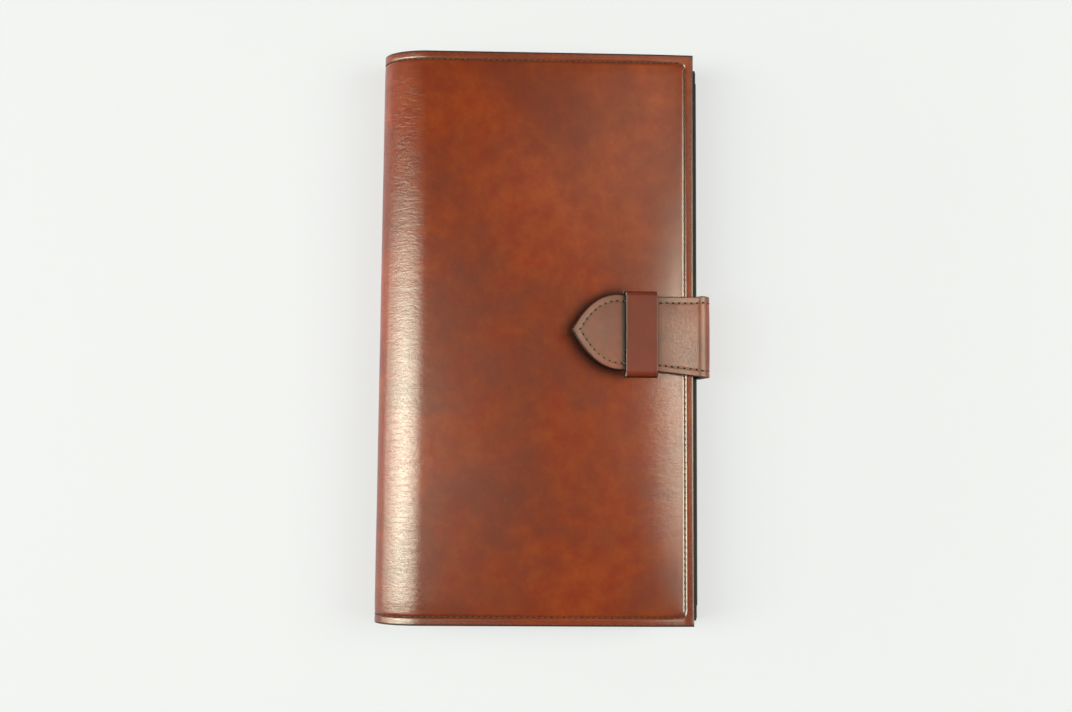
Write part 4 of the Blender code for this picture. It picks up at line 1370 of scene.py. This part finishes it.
# %% Seams on the strap
def strap_seam_line(low, high, inset, ends):
    """Both long seams of a length of the strap, with the seam round its tip or its root."""
    s_lines = np.linspace(low, high, 400)
    s, y = strap_grid(s_lines, np.array([-1.0, 1.0]))
    lines = []
    for side in (0, 1):
        line = np.stack([s[:, side], y[:, side]], -1)
        way = np.gradient(line, axis=0)
        way /= np.hypot(*way.T)[:, None]
        normal = np.stack([-way[:, 1], way[:, 0]], -1) * (1 if side == 0 else -1)
        lines.append(line + normal * inset)
    if ends == "tip":
        middle = tongue_centre(np.array(TIP_X))
        lines = [np.array([p for p in line if (p[1] - middle) * side <= 0.0])
                 for line, side in zip(lines, (1, -1))]
        tip = (max(lines[0][-1][0], lines[1][-1][0]) + 0.05, float(middle))
        lines = [np.concatenate([line, [tip]]) for line in lines]
    if ends == "root":
        lines = [line[line[:, 0] >= inset] for line in lines]
        lines.append(np.array([(inset, lines[0][0][1]), (inset, lines[1][0][1])]))
    return lines


upper_seam = seam("seam_tongue", strap_seam_line(WRAP_MIDDLE, TIP_S, STRAP_INSET, "tip"),
                  strap_place, bend_upper, 2.1, 0.10, 0.3, 0.1, 0.85, PALE_THREAD)
lower_seam = seam("seam_wrap", strap_seam_line(0.0, WRAP_MIDDLE, STRAP_INSET, "root"),
                  strap_place, bend_lower, 2.1, 0.10, 0.3, 0.1, 0.85, PALE_THREAD)
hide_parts("thread_tongue")
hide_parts("thread_strap_root", "thread_wrap_head", "thread_wrap_foot")
print("strap seams:", len(upper_seam[0].data.vertices) + len(lower_seam[0].data.vertices), "points")

# %% [markdown]
# ## The keeper
#
# A plain band, skived at its ends, goes down through two slits and is sewn under the cover. Its
# path is drawn across the strap: a tab under the cover, a leg, a rounded shoulder, the flat top,
# and the same again on the other side. Its cut edges are left pale and a little furry.

# %% Build the keeper
KEEPER_TOP = keeper_high[2]
KEEPER_THICK = 1.1


def keeper_path():
    """The keeper's outer face in Y and Z, from one tab to the other."""
    half = KEEPER_HALF
    low = HEIGHT - LEATHER + 0.6
    tab = np.stack([np.linspace(-half - 4.0, -half - 0.4, 12), np.full(12, low)], -1)
    heel = arc_points((-half - 0.4, low + 0.4), 0.4, -90, 0, 6)[1:]
    shoulder = arc_points((-half + 1.9, KEEPER_TOP - 1.9), 1.9, 180, 90, 12)
    top = np.stack([np.linspace(-half + 1.9, 0, 30), np.full(30, KEEPER_TOP)], -1)[1:]
    top[:, 1] += 0.16 * np.sin(np.linspace(0, np.pi / 2, 29))
    left = np.concatenate([tab, heel, shoulder, top])
    right = left[::-1][1:] * np.array([-1, 1])
    return np.concatenate([left, right])


keeper_length, keeper_point = follower(keeper_path()[::-1])


def keeper_place(u, v, depth):
    """u runs along the band, v across it in X."""
    y, z = keeper_point(u, depth)
    return np.stack([(KEEPER_X[0] + KEEPER_X[1]) / 2 + v + 0 * y, y, z], -1)


KEEPER_WIDE = (KEEPER_X[1] - KEEPER_X[0]) / 2
across = np.array([0.0, 0.06, 0.14, 0.25, 0.4, 0.6, 0.9])
v_lines = np.concatenate([-KEEPER_WIDE + across,
                          np.linspace(-KEEPER_WIDE + 1.2, KEEPER_WIDE - 1.2, 16),
                          (KEEPER_WIDE - across)[::-1]])
u_lines = np.unique(np.concatenate([keeper_length, np.linspace(0, keeper_length[-1], 90)]))
u, v = np.meshgrid(u_lines, v_lines, indexing="ij")
edge = KEEPER_WIDE - np.abs(v)
relief = 0.05 * smooth_noise(u, v, 6.0, 5.0, 31) + 0.02 * smooth_noise(u, v, 2.0, 1.6, 33)
keeper = sheet("keeper", u, v, edge, keeper_place, KEEPER_THICK, [KEEPER, RAW_EDGE], relief, 0.22,
               0.2)
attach(keeper, "front_half")
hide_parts("keeper_loop")
print("keeper:", len(keeper.data.vertices), "points")


# %% [markdown]
# ## Inside: panels, card slots and the coin pouch
#
# The pockets are flat leather sheets, each with a rounded, painted edge and a pressed line near
# its opening. They lie where the frame's sheets lie; the ones on the front half share its droop.

# %% Flat panels
def flat_panel(name, node, body, materials, opening=None, drooped=False, waves=0.05):
    """A leather sheet in the place of a flat node, its good side facing the wallet's middle."""
    low, high = limits(node)
    facing_down = low[2] > HEIGHT / 2
    u_lines = grid_lines(low[0], high[0], 4.0)
    v_lines = grid_lines(low[1], high[1], 5.0)
    u, v, edge = rectangle(u_lines, v_lines, (True, True), 1.5)
    thick = high[2] - low[2]
    relief = waves * smooth_noise(u, v, 26.0, 30.0, low[2])
    if opening is not None:
        distance = np.abs(u - low[0] - opening)
        relief = relief + 0.16 * np.exp(-(distance / 0.3) ** 2)

    def place(u, v, depth):
        z = low[2] + depth if facing_down else high[2] - depth
        sunk = droop(u, v) if drooped else 0.0
        return np.stack([u, v, z - sunk], -1)

    piece = sheet(name, u, v, edge, place, thick, materials, relief, thick * 0.4, 0.3)
    if facing_down:
        piece.data.flip_normals()
    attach(piece, body)
    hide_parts(node)
    return piece


flat_panel("bill_panel_under", "bill_panel_back", "back_half", [LINING, EDGE],
           3.0)
flat_panel("pouch_floor", "pouch_base", "back_half", [LINING, EDGE])
flat_panel("pouch_wall", "pouch_front", "back_half", [POCKET, EDGE], 2.5)
flat_panel("bill_panel_top", "bill_panel_front", "front_half", [LINING, EDGE],
           3.0, True)
for number in range(1, 5):
    flat_panel(f"card_pocket_{number}", f"card_slot_{number}", "front_half", [POCKET, EDGE],
               2.0, True, 0.03)
print("panels and card pockets are in place")

# %% [markdown]
# One line of stitches parts the card pockets in two columns. It is sewn through the lowest
# pocket sheet, so its thread stands on that sheet's lower face, and shares the front's droop.


# %% Stitches between the card pockets
DIVIDER_Z = limits("card_slot_1")[0][2]
divider_low, divider_high = limits("thread_slot_divider")


def divider_place(u, v, depth):
    """A point under the lowest pocket sheet; the depth is measured upwards."""
    return np.stack([u, v + 0 * u, DIVIDER_Z + depth - droop(u, v)], -1)


divider = seam("seam_divider", [[(divider_low[0], 0.0), (divider_high[0], 0.0)]], divider_place,
               lambda piece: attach(piece, "front_half"), 2.0, 0.05, 0.4, 0.1, 0.5)
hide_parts("thread_slot_divider")
print("divider seam:", len(divider[0].data.vertices), "points")

# %% [markdown]
# The pouch's walls are held apart by strips that are folded inwards, so that it can open a
# little and close flat. Each strip is a thin sheet that follows a sideways V.


# %% Folded gussets
GUSSET_THICK = 0.5


def gusset_section(rim, low, high):
    """The outer face of a folded strip: from its low rim in to the fold and out again."""
    middle = (low + high) / 2
    fold = rim - 3.3
    return [(rim, low), (rim - 0.5, low + 0.1), (fold + 0.5, middle - 0.45),
            (fold + 0.12, middle - 0.2), (fold, middle), (fold + 0.12, middle + 0.2),
            (fold + 0.5, middle + 0.45), (rim - 0.5, high - 0.1), (rim, high)]


def gusset(name, node, along, sign):
    """A folded strip along X or Y, on the positive or the negative side of the pouch."""
    low, high = limits(node)
    rim = high[1] if along == "X" else high[0]
    if sign < 0:
        rim = -low[1]
    section = gusset_section(rim, low[2] + GUSSET_THICK, high[2] - GUSSET_THICK)
    if sign > 0:
        section = section[::-1]
    at, follow = follower(section)
    span = (low[0], high[0]) if along == "X" else (low[1], high[1])
    u, v = np.meshgrid(np.unique(np.concatenate([at, np.linspace(0, at[-1], 24)])),
                       grid_lines(*span, 6.0), indexing="ij")
    edge = np.minimum(np.minimum(u, at[-1] - u), np.minimum(v - span[0], span[1] - v))

    def place(u, v, depth):
        across, z = follow(u, depth if sign > 0 else -depth)
        across = across * (1 if sign > 0 else -1)
        return np.stack([v, across, z] if along == "X" else [across, v, z], -1)

    piece = sheet(name, u, v, edge, place, GUSSET_THICK * 0.9, [LINING, EDGE],
                  0.02 * smooth_noise(u, v, 2.0, 14.0, 5), 0.12, 0.1)
    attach(piece, "back_half")
    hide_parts(node)


gusset("gusset_head", "pouch_gusset_head", "X", 1)
gusset("gusset_foot", "pouch_gusset_foot", "X", -1)
gusset("gusset_edge", "pouch_gusset_edge", "Y", 1)
print("three gussets are in place")

# %% [markdown]
# ## The zip
#
# Each row of brass teeth is clamped on the corded edge of a woven tape. A tooth is one small
# block with a rounded head; it is made once and copied along the row. The two rows stand half a
# pitch apart, so that their heads lock.


# %% Tapes with corded edges
teeth_low, teeth_high = limits("zip_teeth_lower")
ZIP_X = (teeth_low[0] + teeth_high[0]) / 2
ZIP_HALF = teeth_high[1]
ZIP_Z = (limits("zip_teeth_lower")[1][2] + limits("zip_teeth_upper")[0][2]) / 2
TAPE_THICK = 0.5


def zip_tape(name, node, sign):
    """A woven tape: flat on the pouch's wall, then turned in to its teeth."""
    low, high = limits(node)
    wall = low[2] if sign > 0 else high[2]
    middle = wall + sign * TAPE_THICK / 2
    turned = high[2] if sign > 0 else low[2]
    corner_x = low[0] + TAPE_THICK / 2
    path = [(high[0], middle), (corner_x + 0.6, middle), (corner_x + 0.18, middle + sign * 0.18),
            (corner_x, middle + sign * 0.6), (corner_x, turned)]
    at, follow = follower(path)
    u, v = np.meshgrid(np.unique(np.concatenate([at, np.linspace(0, at[-1], 20)])),
                       np.linspace(low[1], high[1], 120), indexing="ij")
    edge = np.minimum(np.minimum(u, at[-1] - u), np.minimum(v - low[1], high[1] - v))

    def place(u, v, depth):
        x, z = follow(u, sign * (TAPE_THICK / 2 - depth))
        return np.stack([x, v, z], -1)

    piece = sheet(name, u, v, edge, place, TAPE_THICK * 0.98, [TAPE],
                  0.02 * np.sin(v * 9.0) * np.sin(u * 9.0), 0.1, 0.0)
    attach(piece, "back_half")
    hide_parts(node)


zip_tape("tape_lower", "zip_tape_lower", 1)
zip_tape("tape_upper", "zip_tape_upper", -1)
print("two tapes are in place")

# %% [markdown]
# A tooth could be one block, but its worn, rounded edges are what catches the light. So each is
# two bevelled blocks, a leg and a wider head, made with `bmesh`, which builds and bevels a shape
# without the mouse. The stops at the ends are bevelled blocks too.


# %% Teeth and stops
def bevelled_block(size, bevel, segments=2):
    """Points and faces of a block with rounded edges, centred on the origin."""
    shape = bmesh.new()
    bmesh.ops.create_cube(shape, size=1.0)
    bmesh.ops.scale(shape, vec=size, verts=shape.verts)
    bmesh.ops.bevel(shape, geom=shape.edges[:], offset=bevel, segments=segments, profile=0.5,
                    affect="EDGES")
    shape.verts.ensure_lookup_table()
    points = np.array([v.co[:] for v in shape.verts])
    faces = [tuple(v.index for v in f.verts) for f in shape.faces]
    shape.free()
    return points, faces


def repeat(shape, *places):
    """Copies of one shape at several places."""
    points, faces = shape
    return join([(points + place, faces) for place in places])


TOOTH_PITCH = 2.4
CORD_THICK = 0.62
HEAD_HEIGHT = 0.75


def tooth_row(name, node, sign):
    """One row of teeth: clamping legs at the tape's cord and a locking head."""
    low, high = limits(node)
    root = low[2] if sign > 0 else high[2]
    tip = high[2] if sign > 0 else low[2]
    count = int(2 * (ZIP_HALF - 1.2) / TOOTH_PITCH)
    first = -count * TOOTH_PITCH / 2 + (0.0 if sign > 0 else TOOTH_PITCH / 2) + 0.55
    at = [first + i * TOOTH_PITCH for i in range(count)]
    body = bevelled_block((1.36, 1.0, abs(tip - root) * 0.7), 0.12)
    head = bevelled_block((1.1, 1.22, HEAD_HEIGHT), 0.22)
    body_z = root + sign * abs(tip - root) * 0.35
    head_z = tip - sign * HEAD_HEIGHT / 2
    rows = [repeat(block, *((ZIP_X, y, z) for y in at))
            for block, z in ((body, body_z), (head, head_z))]
    piece = to_object(name, *join(rows), [BRASS])
    cord = bevelled_block((1.0, 2 * ZIP_HALF, CORD_THICK), 0.28)
    cord = repeat(cord, (ZIP_X + 0.1, 0.0, root + sign * CORD_THICK))
    core = to_object(name + "_cord", *cord, [TAPE])
    for made, slot in ((piece, "zip_metal"), (core, "zip_tape")):
        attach(made, "back_half")
        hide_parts(node)


tooth_row("teeth_lower", "zip_teeth_lower", 1)
tooth_row("teeth_upper", "zip_teeth_upper", -1)
for end in ("head", "foot"):
    low, high = limits(f"zip_stop_{end}")
    block = bevelled_block(tuple(high - low), 0.3, 3)
    stop = to_object(f"stop_{end}", *repeat(block, (low + high) / 2), [BRASS])
    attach(stop, "back_half")
    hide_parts(f"zip_stop_{end}")
print("teeth and stops are in place")

# %% [markdown]
# The slider is a cast block that wraps the teeth: a back plate, two flanges that narrow to its
# nose, and two ears that hold the pin of the pull. The pull is a flat tab with a slot and
# rounded ends, and swings on the pin.


# %% Slider and pull
PIN_X, PIN_Y = -38.6, 79.0
EAR_X = -38.5
PLATE_X = -37.15
FLANGE_HALF = 1.15
FLANGE_THICK = 0.7


def add_parts(name, parts, body, node, material):
    """One piece from several closed shapes."""
    piece = to_object(name, *join(parts), [material])
    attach(piece, body)
    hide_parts(node)


slider_low, slider_high = limits("zip_slider")
slider_middle = (slider_low + slider_high) / 2
flange_length = slider_high[1] - slider_low[1]


def flange(sign):
    """One flange, narrower at the foot end."""
    z = slider_middle[2] + sign * (slider_high[2] - slider_low[2] - FLANGE_THICK) / 2
    points, faces = bevelled_block((2 * FLANGE_HALF, flange_length, FLANGE_THICK), 0.22, 3)
    taper = 1.0 - 0.16 * np.clip((-points[:, 1] - flange_length * 0.15) / (flange_length / 2), 0, 1)
    points[:, 0] = -FLANGE_HALF + (points[:, 0] + FLANGE_HALF) * taper
    return repeat((points, faces), (slider_high[0] - FLANGE_HALF, slider_middle[1], z))


back_plate = bevelled_block((0.9, flange_length, slider_high[2] - slider_low[2]), 0.3, 3)
back_plate = repeat(back_plate, (PLATE_X, slider_middle[1], slider_middle[2]))
ears = [repeat(bevelled_block((2.2, 2.0, 0.7), 0.3, 3), (EAR_X, PIN_Y, ZIP_Z + sign * 2.05))
        for sign in (1, -1)]
add_parts("slider", [back_plate, flange(1), flange(-1)] + ears, "zip_slider", "zip_slider", BRASS)


def slotted_tab(outer, inner, thick):
    """A flat tab with a slot: two matching outlines, joined on both faces."""
    count = len(outer)
    half = thick / 2
    layers = [[(half if k < 2 else -half, y, z) for y, z in ring]
              for k, ring in enumerate((outer, inner, inner, outer))]
    points = np.array([p for layer in layers for p in layer])
    faces = []
    for k in range(4):
        for i in range(count):
            j = (i + 1) % count
            a, b = k * count, ((k + 1) % 4) * count
            faces.append((a + i, a + j, b + j, b + i))
    return points, faces


def round_ended(middle, half_length, half_width, corner):
    """Outline in Y and Z of a bar with rounded corners."""
    points = []
    for sy, sz, first in ((1, 1, 0), (-1, 1, 90), (-1, -1, 180), (1, -1, 270)):
        centre = (middle + sy * (half_length - corner), sz * (half_width - corner))
        for p in arc_points(centre, corner, first, first + 90, 8):
            points.append((p[0], p[1] + ZIP_Z))
    return points


pull_low, pull_high = limits("zip_pull")
pull_middle = (pull_low[1] + pull_high[1]) / 2
tab = slotted_tab(round_ended(pull_middle - 0.2, (pull_high[1] - pull_low[1]) / 2 - 0.2, 1.4, 1.1),
                  round_ended(pull_low[1] + 2.7, 1.5, 0.6, 0.55), 0.8)
tab = repeat(tab, (PIN_X, 0, 0))
pin = repeat(bevelled_block((0.66, 0.66, 4.4), 0.2, 2), (PIN_X, PIN_Y, ZIP_Z))
add_parts("pull", [tab, pin], "zip_pull", "zip_pull", BRASS)
print("slider and pull are in place")

# %% Print the sizes and finish
visual_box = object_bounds()


def plain(corners):
    """Corners as plain lists of numbers, which json can write."""
    return [[float(n) for n in corner] for corner in corners]


{"cad": plain(cad_box), "visual": plain(visual_box)}
print("CAD box:", plain(cad_box))
print("visual box:", plain(visual_box))
